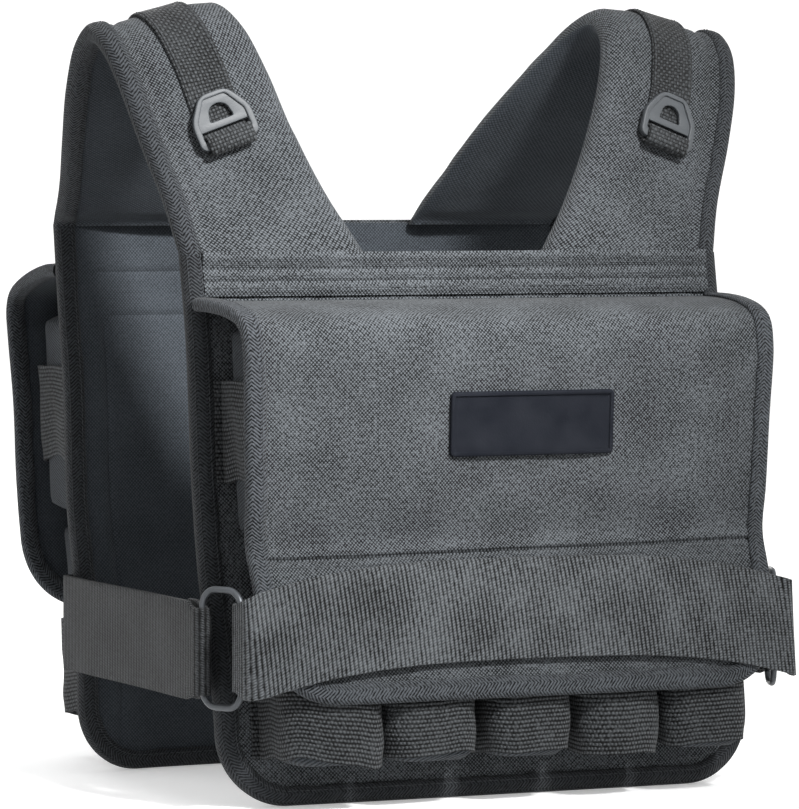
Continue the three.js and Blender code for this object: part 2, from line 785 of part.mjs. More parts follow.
// Shoulder webbing: from the back panel's top over the crest to the D-ring, round the ring's foot
// bar and back into its slot.
function buildShoulderWebbing(frames) {
  const half = shoulderWebThickness / 2;
  const low = clearance + half;
  const ringLow = 2 * clearance + shoulderWebThickness;
  const high = ringLow + dRingThickness + clearance + half;
  const turn = (high - low) / 2;
  const foot = ringRise + clearance;
  const inSlot = ringRise + dRingFootBar + clearance + half;
  const onRing = ringPlace(frames);
  const ringEnd = ringRise + dRingHeight;
  const laid = frames.map((frame) => frame.distance).filter((d) => d > foot + leastStep).reverse();
  const route = [
    ...[...laid, foot].map((d) => new THREE.Vector2(d, low)),
    ...turnRound(foot, low + turn, turn, -Math.PI / 2, -(3 * Math.PI) / 2, FOLD_STEPS).slice(1),
    ...turnRound(inSlot - half, high - half, half, Math.PI / 2, 0, SLOT_STEPS),
    new THREE.Vector2(inSlot, ringLow + clearance),
  ];
  const strip = carry(
    ribbonOutline(route, shoulderWebThickness),
    [-shoulderWebWidth / 2, shoulderWebWidth / 2],
    (w, d, b) => (d < ringEnd ? onRing(d, w, b) : overStrap(frames, d, w, b)),
  );
  piece("left_shoulder_webbing", strip, webbingMaterial);
  piece("right_shoulder_webbing", mirrored(strip), webbingMaterial);
}

// The flat place of a D-ring and the webbing's fold round it: level with the strap at its middle.
function ringPlace(frames) {
  const middle = ringRise + dRingHeight / 2;
  const at = (d, w) => overStrap(frames, d, w, 0);
  const along = at(ringRise + dRingHeight, 0).sub(at(ringRise, 0)).normalize();
  const across = at(middle, dRingWidth / 2).sub(at(middle, -dRingWidth / 2));
  across.addScaledVector(along, -across.dot(along)).normalize();
  const out = across.clone().cross(along);
  return (d, w, b) =>
    at(middle, 0)
      .addScaledVector(along, d - middle)
      .addScaledVector(across, w)
      .addScaledVector(out, b);
}

// D-rings: a five-sided plate with a slot for the webbing and a round-topped hole.
function buildDRings(frames) {
  const half = dRingWidth / 2;
  const shape = new THREE.Shape([
    new THREE.Vector2(-half, 0),
    new THREE.Vector2(half, 0),
    new THREE.Vector2(half, dRingShoulder),
    new THREE.Vector2(dRingTop / 2, dRingHeight),
    new THREE.Vector2(-dRingTop / 2, dRingHeight),
    new THREE.Vector2(-half, dRingShoulder),
  ]);
  const slotHalf = shoulderWebWidth / 2 + clearance;
  const slotTop = dRingFootBar + dRingSlot;
  shape.holes.push(
    new THREE.Path([
      new THREE.Vector2(-slotHalf, dRingFootBar),
      new THREE.Vector2(-slotHalf, slotTop),
      new THREE.Vector2(slotHalf, slotTop),
      new THREE.Vector2(slotHalf, dRingFootBar),
    ]),
  );
  const foot = slotTop + dRingBridge;
  const holeHalf = dRingHoleWidth / 2;
  const arch = spread(Math.PI, 0, ARCH_STEPS).map(
    (turn) =>
      new THREE.Vector2(
        holeHalf * D_RING_ARCH.width * Math.cos(turn),
        foot + dRingHoleHeight * mix(D_RING_ARCH.foot, 1, Math.sin(turn)),
      ),
  );
  shape.holes.push(
    new THREE.Path([new THREE.Vector2(-holeHalf, foot), ...arch, new THREE.Vector2(holeHalf, foot)]),
  );
  const seat = 2 * clearance + shoulderWebThickness;
  const onRing = ringPlace(frames);
  const ring = carry(shape, [seat, seat + dRingThickness], (b, w, d) => onRing(ringRise + d, w, b));
  piece("left_d_ring", ring, plasticMaterial);
  piece("right_d_ring", mirrored(ring), plasticMaterial);
}

// Where the wire rings stand: the belt's wire and the side strap's wire, on the wearer's left.
function wireRingPlace() {
  const route = flapRoute(FRONT);
  const beltFront = flapFace(route, beltEnd) + beltSeat(route);
  const turn = THREE.MathUtils.degToRad(wireRingTurn);
  const beltWire = new THREE.Vector2(
    flapWidthAtHem / 2 + wireRingGap + wireDiameter / 2,
    -(beltFront - wireRingSetback),
  );
  const strapWire = new THREE.Vector2(
    beltWire.x + wireRingWidth * Math.sin(turn),
    beltWire.y + wireRingWidth * Math.cos(turn),
  );
  return { route, beltFront, beltWire, strapWire, turn };
}

// How far the flap's middle layer stands out at a height, and the belt's middle beyond it.
function flapFace(route, z) {
  return route.getPointAt(routeDistanceAt(route, z) / route.getLength()).x;
}
function beltSeat(route) {
  const slope = route.getTangentAt(routeDistanceAt(route, beltEnd) / route.getLength());
  return (flapThickness / 2 + 3 * clearance + bindingWall + beltThickness / 2) / -slope.y;
}

// Sweeps webbing of some width, standing on edge, along stops that have x, y and a middle height.
// lean(stop, z) gives how far it stands out there past the stop.
function standingWebbing(stops, width, thickness, lean) {
  const shape = new THREE.Shape();
  shape.setFromPoints([
    ...spread(-1, 1, WEBBING_STEPS).map((h) => new THREE.Vector2(-1, h)),
    ...spread(1, -1, WEBBING_STEPS).map((h) => new THREE.Vector2(1, h)),
  ]);
  const stations = stops.map((stop, i) => {
    const before = stops[Math.max(i - 1, 0)];
    const after = stops[Math.min(i + 1, stops.length - 1)];
    const first = new THREE.Vector2(stop.x - before.x, stop.y - before.y);
    const second = new THREE.Vector2(after.x - stop.x, after.y - stop.y);
    if (i === 0) first.copy(second);
    if (i === stops.length - 1) second.copy(first);
    const along = first.normalize().clone().add(second.normalize()).normalize();
    const reach = thickness / 2 / Math.max(along.dot(first), MITRE_LIMIT);
    return { stop, side: new THREE.Vector2(-along.y, along.x).multiplyScalar(reach) };
  });
  return carry(shape, stations, ({ stop, side }, s, h) => {
    const z = stop.z + (h * width) / 2;
    return new THREE.Vector3(stop.x + side.x * s, stop.y + side.y * s - lean(stop, z), z);
  });
}

// The belt: across the front over the flap, round both corners and through the wire rings.
function buildBelt() {
  const { route, beltFront, beltWire } = wireRingPlace();
  const wrap = wireDiameter / 2 + clearance + beltThickness / 2;
  const outside = beltWire.x + wrap;
  const heightAt = (x) => mix(beltMiddle, beltEnd, (Math.abs(x) / outside) ** BELT_POWER);
  const frontAt = (x) => -(beltFront + bowOut(FRONT, x) - bowOut(FRONT, flapWidthAtHem / 2));
  const half = [
    ...spread(0, outside - beltCorner, BELT_STEPS).map((x) => ({ x, y: frontAt(x), lean: 1 })),
    ...turnRound(outside - beltCorner, -beltFront + beltCorner, beltCorner, -Math.PI / 2, 0, BELT_TURN_STEPS)
      .slice(1)
      .map((p, i) => ({ x: p.x, y: p.y, lean: 1 - (i + 1) / (BELT_TURN_STEPS + 1) })),
    ...turnRound(beltWire.x, beltWire.y, wrap, 0, Math.PI, FOLD_STEPS)
      .map((p) => ({ x: p.x, y: p.y, lean: 0 })),
    { x: beltWire.x - wrap, y: beltWire.y - beltTuck, lean: 0 },
  ];
  const stops = half.map((stop) => ({ ...stop, z: heightAt(stop.x) }));
  const others = stops.slice(1).map((stop) => ({ ...stop, x: -stop.x })).reverse();
  const lean = (stop, z) => stop.lean * (flapFace(route, z) - flapFace(route, beltEnd));
  const belt = standingWebbing([...others, ...stops], beltWidth, beltThickness, lean);
  piece("front_belt", belt, webbingMaterial);
}

// Side straps: sewn to the back panel, round its edge and forward to the wire rings.
function buildSideStraps() {
  const { strapWire } = wireRingPlace();
  const wrap = wireDiameter / 2 + clearance + beltThickness / 2;
  const edge = panelHalf(BACK, sideStrapMiddle);
  const over = panelThickness / 2 + 2 * clearance + bindingWall + beltThickness / 2;
  const backs = [0, 1].map((share) => {
    const x = edge - sideStrapSewn * (1 - share);
    return { x, y: panelOut(BACK, sideStrapMiddle + beltWidth / 2) + bowOut(BACK, x) + over };
  });
  const corner = clearance + beltThickness / 2 + sideStrapFold;
  const stops = [
    ...backs,
    ...turnRound(edge, backs[1].y - corner, corner, Math.PI / 2, 0, STRAP_TURN_STEPS).slice(1),
    ...turnRound(strapWire.x, strapWire.y, wrap, 0, -Math.PI, FOLD_STEPS),
    { x: strapWire.x - wrap, y: strapWire.y + sideStrapTuck },
  ].map((p) => ({ x: p.x, y: p.y, z: sideStrapMiddle }));
  const strap = standingWebbing(stops, beltWidth, beltThickness, () => 0);
  piece("left_side_strap", strap, webbingMaterial);
  piece("right_side_strap", mirrored(strap), webbingMaterial);
}

// Wire rings: a round-cornered loop of wire that joins a belt end to a side strap.
function buildWireRings() {
  const { beltWire, strapWire } = wireRingPlace();
  const ring = new THREE.TorusGeometry(wireRingCorner, wireDiameter / 2, WIRE_SIDES, WIRE_STEPS);
  ring.rotateZ(Math.PI / WIRE_STEPS);
  const points = ring.getAttribute("position");
  const across = strapWire.clone().sub(beltWire).normalize();
  const middle = strapWire.clone().add(beltWire).multiplyScalar(0.5);
  for (let i = 0; i < points.count; i += 1) {
    const x = points.getX(i) + Math.sign(points.getX(i)) * (wireRingWidth / 2 - wireRingCorner);
    const y = points.getY(i) + Math.sign(points.getY(i)) * (wireRingHeight / 2 - wireRingCorner);
    const b = points.getZ(i);
    points.setXYZ(
      i,
      middle.x + across.x * x + across.y * b,
      middle.y + across.y * x - across.x * b,
      wireRingMiddle + y,
    );
  }
  const wire = closed(ring);
  piece("left_wire_ring", wire, wireMaterial);
  piece("right_wire_ring", mirrored(wire), wireMaterial);
}

for (const side of [FRONT, BACK]) {
  buildPanel(side);
  buildFlap(side);
  buildBars(side);
  buildLoops(side);
}
buildPatch();
const frames = strapFrames(strapRails());
buildStraps(frames);
buildShoulderWebbing(frames);
buildDRings(frames);
buildBelt();
buildSideStraps();
buildWireRings();

// The origin goes to the middle of the vest's box in plan; the panels' feet already stand on z = 0.
const box = new THREE.Box3().setFromObject(vest);
vest.position.set(-(box.min.x + box.max.x) / 2, -(box.min.y + box.max.y) / 2, 0);

export default vest;
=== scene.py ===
"""A weighted vest dressed for rendering: bound padded panels, flaps over packs of weight bars, padded
shoulder straps with D-rings, and a belt on wire rings. Lengths in the tables and constants are in
millimetres unless their comments say otherwise, and meshes are made in metres."""

import math

import bmesh
import bpy
import numpy as np
from bpy.props import FloatProperty, FloatVectorProperty, IntProperty, PointerProperty
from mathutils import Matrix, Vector


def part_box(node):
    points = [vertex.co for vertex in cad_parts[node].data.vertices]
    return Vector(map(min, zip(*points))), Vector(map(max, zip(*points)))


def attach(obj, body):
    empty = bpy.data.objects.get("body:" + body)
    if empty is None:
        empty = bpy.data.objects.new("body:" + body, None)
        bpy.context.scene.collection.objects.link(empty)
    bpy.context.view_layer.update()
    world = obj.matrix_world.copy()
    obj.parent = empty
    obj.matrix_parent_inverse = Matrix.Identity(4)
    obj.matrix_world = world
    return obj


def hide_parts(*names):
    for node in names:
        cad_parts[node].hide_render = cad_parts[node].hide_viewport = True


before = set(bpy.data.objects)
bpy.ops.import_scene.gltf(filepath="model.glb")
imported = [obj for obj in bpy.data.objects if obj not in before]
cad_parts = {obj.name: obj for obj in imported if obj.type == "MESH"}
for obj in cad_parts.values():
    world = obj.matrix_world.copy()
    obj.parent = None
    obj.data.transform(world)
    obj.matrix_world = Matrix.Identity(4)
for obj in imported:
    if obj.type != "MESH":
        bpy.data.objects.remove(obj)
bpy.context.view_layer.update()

bl_info = {
    "name": "Weighted Vest Looks",
    "version": (1, 0, 0),
    "blender": (4, 5, 0),
    "location": "View3D > Sidebar > Vest",
    "description": "Dresses a weighted vest in woven cloth, webbing, stitches and moulded rings",
    "category": "Object",
}

MM = 0.001
TURN = 2 * math.pi

# Panels
PANEL_WIDTH_FOOT = 293
PANEL_WIDTH_TOP = 298
PANEL_THICKNESS = 9
PANEL_CORNER = 36
YOKE_HEIGHT = 20
YOKE_THICKNESS = 2.4
CLEARANCE = 0.5
BINDING_WIDTH = 10
BINDING_WALL = 1.4
BOW_POWER = 4

# Weight packs
BAR_COLUMNS = 5
BAR_PITCH = 51.5
BAR_WIDTH = 46
BAR_HEIGHT = 101
BAR_FOOT = 23
BAR_ROW_GAP = 8
LOOP_HEIGHT = 50
LOOP_THICKNESS = 1.6
LOOP_TAB = 4
LOWER_LOOP_RISE = 1
UPPER_LOOP_RISE = 25

# How far each column of a row has shifted, and the share of a full bar's width that it fills
COLUMNS = {
    "lower": [(1.5, 1.03), (2.5, 1.0), (4, 0.9), (2.5, 0.88), (0, 0.96)],
    "upper": [(-5, 1.06), (-2, 1.0), (0, 1.0), (2, 1.0), (5, 1.06)],
}

# Flaps and patch
FLAP_WIDTH_TOP = 296
FLAP_WIDTH_HEM = 284
FLAP_STRAIGHT = 62
FLAP_THICKNESS = 3
FLAP_CORNER = 38
HEM_SEAM_HEIGHT = 124
PATCH_WIDTH = 90
PATCH_HEIGHT = 32
PATCH_THICKNESS = 2
PATCH_RIM = 2.4
PATCH_RISE = 186
PATCH_SHIFT = 8
PATCH_CORNER = 2.5

# Shoulder straps and D-rings
STRAP_CREST = 381
STRAP_CREST_DEPTH = 4
STRAP_CREST_INNER = 103
STRAP_CREST_OUTER = 178
STRAP_TILT = 4
STRAP_PAD = 13
STRAP_EDGE = 7
STRAP_LAP = 1.5
WEB_WIDTH = 25
WEB_THICKNESS = 1.8
WEB_SHARE = 0.48
RING_RISE = 58
RING_WIDTH = 32
RING_HEIGHT = 27
RING_SHOULDER = 15
RING_TOP = 15
RING_THICKNESS = 3.2
RING_FOOT_BAR = 4.5
RING_SLOT = 4.6
RING_HOLE_WIDTH = 13
RING_HOLE_HEIGHT = 8.5
RING_BRIDGE = 3.6

# Belt, side straps and wire rings
BELT_WIDTH = 48.5
BELT_THICKNESS = 2.4
BELT_MIDDLE = 96
BELT_END = 80.5
BELT_POWER = 3
BELT_CORNER = 7
BELT_TUCK = 9
SIDE_STRAP_MIDDLE = 77.5
SIDE_STRAP_SEWN = 13
SIDE_STRAP_TUCK = 22
SIDE_STRAP_BEND = 1
WIRE_DIAMETER = 3.2
WIRE_RING_WIDTH = 26
WIRE_RING_HEIGHT = 57
WIRE_RING_CORNER = 9
FOLD_WIDTH = 42.5
WIRE_RING_MIDDLE = 79.5
WIRE_RING_TURN = 22.5
WIRE_RING_GAP = 3.4
WIRE_RING_SETBACK = 17

# A side's height, distances of its panel, its side view as (share of height, share of lean), and its
# flap's side view as (share of the pack's depth, share of the drop)
FRONT = {
    "name": "front",
    "facing": -1,
    "height": 268,
    "foot": 91,
    "lean": -40,
    "bow": 3,
    "bar_depth": 40,
    "hem": 53,
    "neck": 50,
    "profile": [(0, 0), (0.17, 0.1), (0.45, 0.56), (0.6, 0.7), (0.86, 0.83), (1, 1)],
    "flap": [
        *[(0, 0), (0.35, 0.002), (0.7, 0.01), (1.02, 0.028), (1.17, 0.055), (1.21, 0.1), (1.2, 0.16)],
        *[(1.12, 0.3), (1.02, 0.48), (0.9, 0.6), (0.98, 0.7), (1.02, 0.82), (1.02, 1)],
    ],
}
BACK = {
    "name": "back",
    "facing": 1,
    "height": 282,
    "foot": 84,
    "lean": 26,
    "bow": 12,
    "bar_depth": 68,
    "hem": 78,
    "neck": 56,
    "profile": [(0, 0), (0.35, 0.12), (0.46, 0.4), (0.71, 0.58), (0.85, 0.8), (1, 1)],
    "flap": [
        *[(0, 0), (0.25, 0.004), (0.6, 0.03), (0.9, 0.07), (1.01, 0.12)],
        *[(1.03, 0.2), (1.02, 0.4), (1.03, 0.65), (1.03, 0.85), (1.02, 1)],
    ],
}

# Shoulder strap: rise, run, inner, outer, tilt, as shares between a panel's top and the crest
FRONT_STRAP = [
    (0, 0, 0, 0, 0),
    (0.22, 0.12, 0.3, 0.2, 0),
    (0.5, 0.26, 0.6, 0.55, 0.2),
    (0.76, 0.42, 0.82, 0.82, 0.6),
    (0.93, 0.66, 0.95, 0.96, 0.9),
]
STRAP_TOP = (1, 1, 1, 1, 1)
BACK_STRAP = [
    (0.93, 0.84, 0.9, 0.97, 1.3),
    (0.74, 0.68, 0.66, 0.86, 1.5),
    (0.46, 0.44, 0.36, 0.55, 1.2),
    (0.2, 0.2, 0.14, 0.22, 0.5),
    (0, 0, 0, 0, 0),
]
# Strap pad across its width: share of the width, upper and lower face as shares of the pad
STRAP_UPPER = [(0.11, 0.7), (0.26, 0.72), (0.5, 0.54), (0.72, 0.36), (0.84, 0.27), (1, 0.27)]
STRAP_LOWER = [(0.11, 0.34), (0.26, 0.36), (0.72, 0.3), (0.84, 0.27), (1, 0.27)]
STRAP_ROLL = 0.11

# Cloth grids: rows down a straight part, rows round a corner and columns, the distance between points
# along an edge, and the length of a quarter turn as a share of its radius
PANEL_ROWS = 110
FLAP_ROWS = 160
CORNER_ROWS = 18
PANEL_COLUMNS = 130
FLAP_COLUMNS = 170
YOKE_ROWS = 44
YOKE_COLUMNS = 160
EDGE_STEP = 2.0
QUARTER_TURN = 1.6

# Padding of a panel: where it starts and is full, from the tape's inner line, its seams below the yoke
# and in from the sides, how full the cloth and the lining are, and how deeply the lining is sewn
PADDING = (-2, 14)
PANEL_SEAMS = (5, 27)
PANEL_SIDE_SEAM = 24
PANEL_SEAM_WIDTH = 3
CLOTH_FULLNESS = 0.4
LINING_FULLNESS = 1.6
LINING_SEAM = 1.7
# Ripples: height, size and how far the seed moves
PANEL_RIPPLES = ((0.5, 46, 0), (0.22, 17, 1))
YOKE_RIPPLES = ((0.35, 19, 0), (0.2, 6, 3))

# Yoke: how far it laps over the panel's top, its rolled edge, its sewn lines and its thin lower edge
YOKE_LAP = 1.5
YOKE_ROLL = 1.6
YOKE_ROLL_MIDDLE = 1
YOKE_ROLL_WIDTH = 5
YOKE_SEAMS = (7, 13)
YOKE_SEAM_DEPTH = 1.1
YOKE_SEAM_WIDTH = 2.2
YOKE_FALL = 1.2
YOKE_FALL_WIDTH = 3

# Tape folded round an edge: puckers as height, size and start, the width past which it puckers, how far
# the fold reaches as a share of its height, its lip from its inner line, and the share of the clearance
# that it leaves inside
TAPE_PUCKERS = ((0.05, 7, 0), (0.04, 23, 9))
TAPE_PUCKER_START = 3
TAPE_FOLD = 0.8
TAPE_LIP = ((0, -0.9), (-0.7, -0.1), (-3.8, 0.15))
TAPE_SLACK = 0.6

# Flap: where the shelf turns into the cover as shares of the pack's depth, how far in from the edges it
# is full, ripples as height and size, the shift and stretch that keep those apart, the waist between the
# rows of bars, and the bars that show through
COVER_START = (0.9, 1.3)
COVER_EDGE = (8, 30)
COVER_LARGE = (0.9, 62)
COVER_SMALL = (0.4, 27)
COVER_SHIFT = 60
COVER_STRETCH = 1.4
WAIST_DEPTH = 1.1
WAIST_WIDTH = 46
BARS_THROUGH = 0.35
# Hem seam: its slope, how far the closer rows reach above and below it and their step, its lip and where
# that rises and falls, its groove, and the fray below it as height and size
HEM_SLOPE = 0.012
HEM_ABOVE = 5
HEM_BELOW = 7
HEM_STEP = 0.4
HEM_LIP = 0.9
HEM_LIP_RISE = (-7, -1.5)
HEM_LIP_FALL = (-0.5, 0.4)
HEM_GROOVE = 1.5
HEM_GROOVE_MIDDLE = 1.2
HEM_GROOVE_WIDTH = 2.4
HEM_FRAY = (0.3, 5)
HEM_FRAY_RISE = 3

# Patch: its rounded outer edge, the inner slope of its rim, its sunken field and the rings across that
PATCH_EDGE = 0.5
PATCH_SLOPE = 0.4
PATCH_SINK = 0.8
PATCH_RINGS = (2, 5, 9, 13)
PATCH_CORNER_LEAST = 0.4

# Bars: rings near either end and between as shares of the height, points round one, how square it is, how
# much and where its ends are gathered, how uneven it is, and its ripples as height, size and stretch
BAR_END_RINGS = (0, 0.004, 0.012, 0.03, 0.06)
BAR_FAR_RINGS = (0.94, 0.97, 0.988, 0.996, 1)
BAR_MIDDLE_RINGS = (0.1, 0.9, 26)
BAR_POINTS = 48
BAR_SQUARENESS = 3.4
BAR_GATHER = 0.32
BAR_GATHER_RISE = (-0.02, 0.05)
BAR_GATHER_POWER = 1.5
BAR_UNEVEN = 0.012
BAR_LARGE = (0.7, 17, 12)
BAR_SMALL = (0.3, 9, 30)

# Loops: radius of their turns, slack of each one, crown over a bar, rows across the strip, how far out it
# hangs free, its sway as height, size and start and the sway of its lower edge against its upper one, its
# ripples as height and size, and how deep and how much of its lower edge is tucked
LOOP_RADIUS = 14
LOOP_SLACK = (-0.3, 1.6)
LOOP_CROWN = 0.5
LOOP_ROWS = 22
LOOP_LEAVES = 16
LOOP_SWAY = ((2.6, 40, 0), (1.3, 14, 5))
LOOP_SWAY_TOP = 1.2
LOOP_SOFT = (1.1, 15)
LOOP_TUCK = 1.4
LOOP_TUCK_SHARE = 0.25

# Strap pad: rows along it, points round its roll and how they crowd at the edge, points across it, how
# far it stands up, its sewn channel, how soon it is flat at its ends and its tape, its ripples as height
# and size, their stretch, and how much of them its lower face shows
PAD_ROWS = 150
PAD_ROLL_POINTS = 12
PAD_ROLL_POWER = 1.6
PAD_POINTS = 46
PAD_CROWN = 0.03
PAD_CHANNEL = 1.3
PAD_CHANNEL_IN = 5
PAD_CHANNEL_WIDTH = 4
PAD_FLAT_END = 20
PAD_FLAT_EDGE = 12
PAD_LARGE = (0.5, 38)
PAD_SMALL = (0.25, 15)
PAD_STRETCH = 1.5
PAD_UNDER = 0.5
STRAP_TAPE_ROWS = 170
# Webbing: how soft its edges are, and the distance between rings on the strap and in a fold
WEB_EDGE = 0.4
WEB_STEP = 3.0
WEB_FOLD_STEP = 0.8
# Share of the strap at each end over which it turns from upright
STRAP_UPRIGHT = 0.06
# How far before and behind the D-ring's top the webbing comes down onto the strap
WEB_SETTLE = (-4, 12)

# D-ring: its corners, how far the plate lies below its rim, their bevels, the rim's inner edge as shares
# of the outline and above the slot, and the hole's arch as shares of the hole: width, height and start
RING_CORNER = 4.5
RING_SLOT_CORNER = 0.6
RING_HOLE_CORNER = 1.2
RING_RIM_CORNER = 1.6
RING_SINK = 1.0
RING_PLATE_BEVEL = 0.5
RING_RIM_BEVEL = 0.6
RING_RIM_ACROSS = 0.8
RING_RIM_UP = 0.86
RING_RIM_FOOT = 1.2
RING_ARCH = (0.86, 0.56, 0.42)

# Belt and side straps: distance between rings, where the webbing narrows to its fold, the belt's wave as
# depth, size and start and where it fades, where the side strap hangs free and is held, and its sway as
# depth, size and start. Then the wire's distance between rings and points round it
BELT_STEP = 1.6
FOLD_NARROWS = (3, 13)
BELT_WAVE = (0.6, 34, 300)
BELT_WAVE_END = 140
BELT_WAVE_FADE = 30
SIDE_STRAP_FREE = (20, 60)
SIDE_STRAP_HELD = 60
SIDE_STRAP_FADE = 50
SIDE_STRAP_SWAY = (1.2, 55, 3)
WIRE_STEP = 1.5
WIRE_POINTS = 12

# Stitches: how far in from a tape's inner line and above the cloth they lie, lines on the yoke and beside
# the hem seam, how far lines stop from their ends, points on a line, and a thread's share of its spacing
STITCH_IN = 2.2
STITCH_RISE = 0.15
YOKE_STITCHES = (4.6, 10.0, 16.0)
YOKE_STITCH_RISE = 0.25
YOKE_STITCH_END = 3
HEM_STITCHES = (-2.0, 5.0)
HEM_STITCH_END = 12
LOW_STITCH_RISE = 0.1
STITCH_POINTS = 150
STITCH_SHARE = 0.78
STRAP_STITCH_END = 3
STRAP_STITCH_POINTS = 160
WEB_STITCHES = (-10.8, 10.8)
WEB_STITCH_START = 34
WEB_STITCH_END = 4
WEB_STITCH_POINTS = 120

# The middle of the vest in depth: the front binding's foot stands this far in front of it
FRONT_REACH = FRONT["foot"] + FRONT["bow"] + PANEL_THICKNESS / 2 + CLEARANCE + BINDING_WALL
MIDDLE_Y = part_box("front_panel_binding")[0].y / MM + FRONT_REACH


# Numbers and shapes


def smoothstep(x, low=0.0, high=1.0):
    """Rises smoothly from 0 at low to 1 at high."""
    t = np.clip((np.asarray(x, float) - low) / (high - low), 0, 1)
    return t * t * (3 - 2 * t)


def mix(a, b, share):
    """The value a share of the way from a to b."""
    return a + (b - a) * share


def read(rows, at):
    """A smooth curve through rows of (x, y), read at the given places."""
    xs, ys = np.array(rows, float).T
    slopes = np.gradient(ys, xs)
    at = np.clip(np.asarray(at, float), xs[0], xs[-1])
    i = np.clip(np.searchsorted(xs, at, side="right") - 1, 0, len(xs) - 2)
    step = xs[i + 1] - xs[i]
    t = (at - xs[i]) / step
    h00 = 2 * t**3 - 3 * t**2 + 1
    h10 = t**3 - 2 * t**2 + t
    h11 = t**3 - t**2
    return mix(ys[i + 1], ys[i], h00) + step * (h10 * slopes[i] + h11 * slopes[i + 1])


def ripple(u, v, size, seed):
    """Smooth noise from -1 to 1 over a surface, with bumps of about that size."""
    cells = 97
    grid = np.random.default_rng(seed).uniform(-1, 1, (cells, cells))
    x, y = np.broadcast_arrays(np.asarray(u, float) / size, np.asarray(v, float) / size)
    i, j = np.floor(x).astype(int), np.floor(y).astype(int)
    a, b = smoothstep(x - i), smoothstep(y - j)
    low = mix(grid[i % cells, j % cells], grid[(i + 1) % cells, j % cells], a)
    high = mix(grid[i % cells, (j + 1) % cells], grid[(i + 1) % cells, (j + 1) % cells], a)
    return mix(low, high, b)


def ripples(u, v, layers, seed):
    """Ripples of several sizes over each other, from rows of height, size and step of the seed."""
    return sum(height * ripple(u, v, size, seed + step) for height, size, step in layers)


def groove(distance, width):
    """1 in the middle of a seam, falling to 0 a width away from it."""
    return np.exp(-((distance / (width / 2)) ** 2))


def unit(v):
    """Vectors of length one."""
    return v / np.maximum(np.linalg.norm(v, axis=-1, keepdims=True), 1e-9)


def lengths(points):
    """Distance along a line of points, from its first one."""
    return np.concatenate([[0], np.cumsum(np.linalg.norm(np.diff(points, axis=0), axis=1))])


def arc(x, y, radius, start, end, steps):
    """Points of a turn about (x, y)."""
    angles = np.linspace(start, end, steps + 1)
    return np.stack([x + radius * np.cos(angles), y + radius * np.sin(angles)], 1)


def span(start, end, leave, arrive, t):
    """A cubic curve from start to end with the given slopes there, read at t from 0 to 1."""
    cube = 2 * start - 2 * end + leave + arrive
    square = -3 * start + 3 * end - 2 * leave - arrive
    return cube * t**3 + square * t**2 + leave * t + start


def even(points, step):
    """The same line with points at even distances."""
    points = np.asarray(points, float)
    along = lengths(points)
    at = np.linspace(0, along[-1], max(int(along[-1] / step), 2) + 1)
    return np.stack([np.interp(at, along, points[:, k]) for k in range(points.shape[1])], 1)


# Meshes


def add_object(name, data):
    """A new object in the scene."""
    made = bpy.data.objects.new(name, data)
    bpy.context.scene.collection.objects.link(made)
    return made


def smooth(mesh, sharp):
    """Shades a mesh smoothly, but for edges sharper than that angle."""
    mesh.polygons.foreach_set("use_smooth", [True] * len(mesh.polygons))
    mesh.set_sharp_from_angle(angle=math.radians(sharp))


def finish_mesh(name, points, faces, corners, materials, slots=None, sharp=50):
    """A mesh object of millimetre points, faces and a UV corner for each loop."""
    mesh = bpy.data.meshes.new(name)
    mesh.from_pydata((np.asarray(points) * MM).tolist(), [], faces)
    layer = mesh.uv_layers.new(name="surface")
    layer.data.foreach_set("uv", np.asarray(corners, float).ravel())
    for material in materials:
        mesh.materials.append(material)
    if slots is not None:
        mesh.polygons.foreach_set("material_index", slots)
    work = bmesh.new()
    work.from_mesh(mesh)
    bmesh.ops.recalc_face_normals(work, faces=work.faces)
    work.to_mesh(mesh)
    work.free()
    smooth(mesh, sharp)
    return add_object(name, mesh)


def ring_grid(rings, across, along):
    """Quads round closed rings, with their UV corners, and a lid at each end."""
    count, size = rings.shape[:2]
    s, n = np.meshgrid(np.arange(count - 1), np.arange(size), indexing="ij")
    s, n = s.ravel(), n.ravel()
    m = (n + 1) % size
    quads = np.stack([s * size + n, s * size + m, (s + 1) * size + m, (s + 1) * size + n], 1)
    u = np.stack([across[n], across[n + 1], across[n + 1], across[n]], 1)
    v = np.stack([along[s], along[s], along[s + 1], along[s + 1]], 1)
    faces = quads.tolist()
    corners = np.stack([u, v], 2).reshape(-1, 2)
    lids = [list(range(size))[::-1], list(range((count - 1) * size, count * size))]
    ends = [np.stack([across[:-1], np.full(size, along[k])], 1) for k in (0, -1)]
    return faces + lids, np.concatenate([corners, ends[0][::-1], ends[1]])


def tube(name, rings, materials, closed=False, sharp=50, lined=None):
    """A closed solid through rings of points. Past the point lined of each ring it has its lining."""
    rings = np.asarray(rings, float)
    middle = rings[len(rings) // 2]
    around = lengths(np.concatenate([middle, middle[:1]]))
    if closed:
        rings = np.concatenate([rings, rings[:1]])
    along = lengths(rings.mean(1))
    faces, corners = ring_grid(rings, around, along)
    if closed:
        size = rings.shape[1]
        total = (len(rings) - 1) * size
        faces = [[i % total for i in face] for face in faces[:-2]]
        corners = corners[: 4 * len(faces)]
        rings = rings[:-1]
    slots = None
    if lined is not None:
        size = rings.shape[1]
        slots = [int(lined <= i % size < size - 1) for i in range(len(faces) - 2)] + [0, 0]
    return finish_mesh(name, rings.reshape(-1, 3), faces, corners, materials, slots=slots, sharp=sharp)


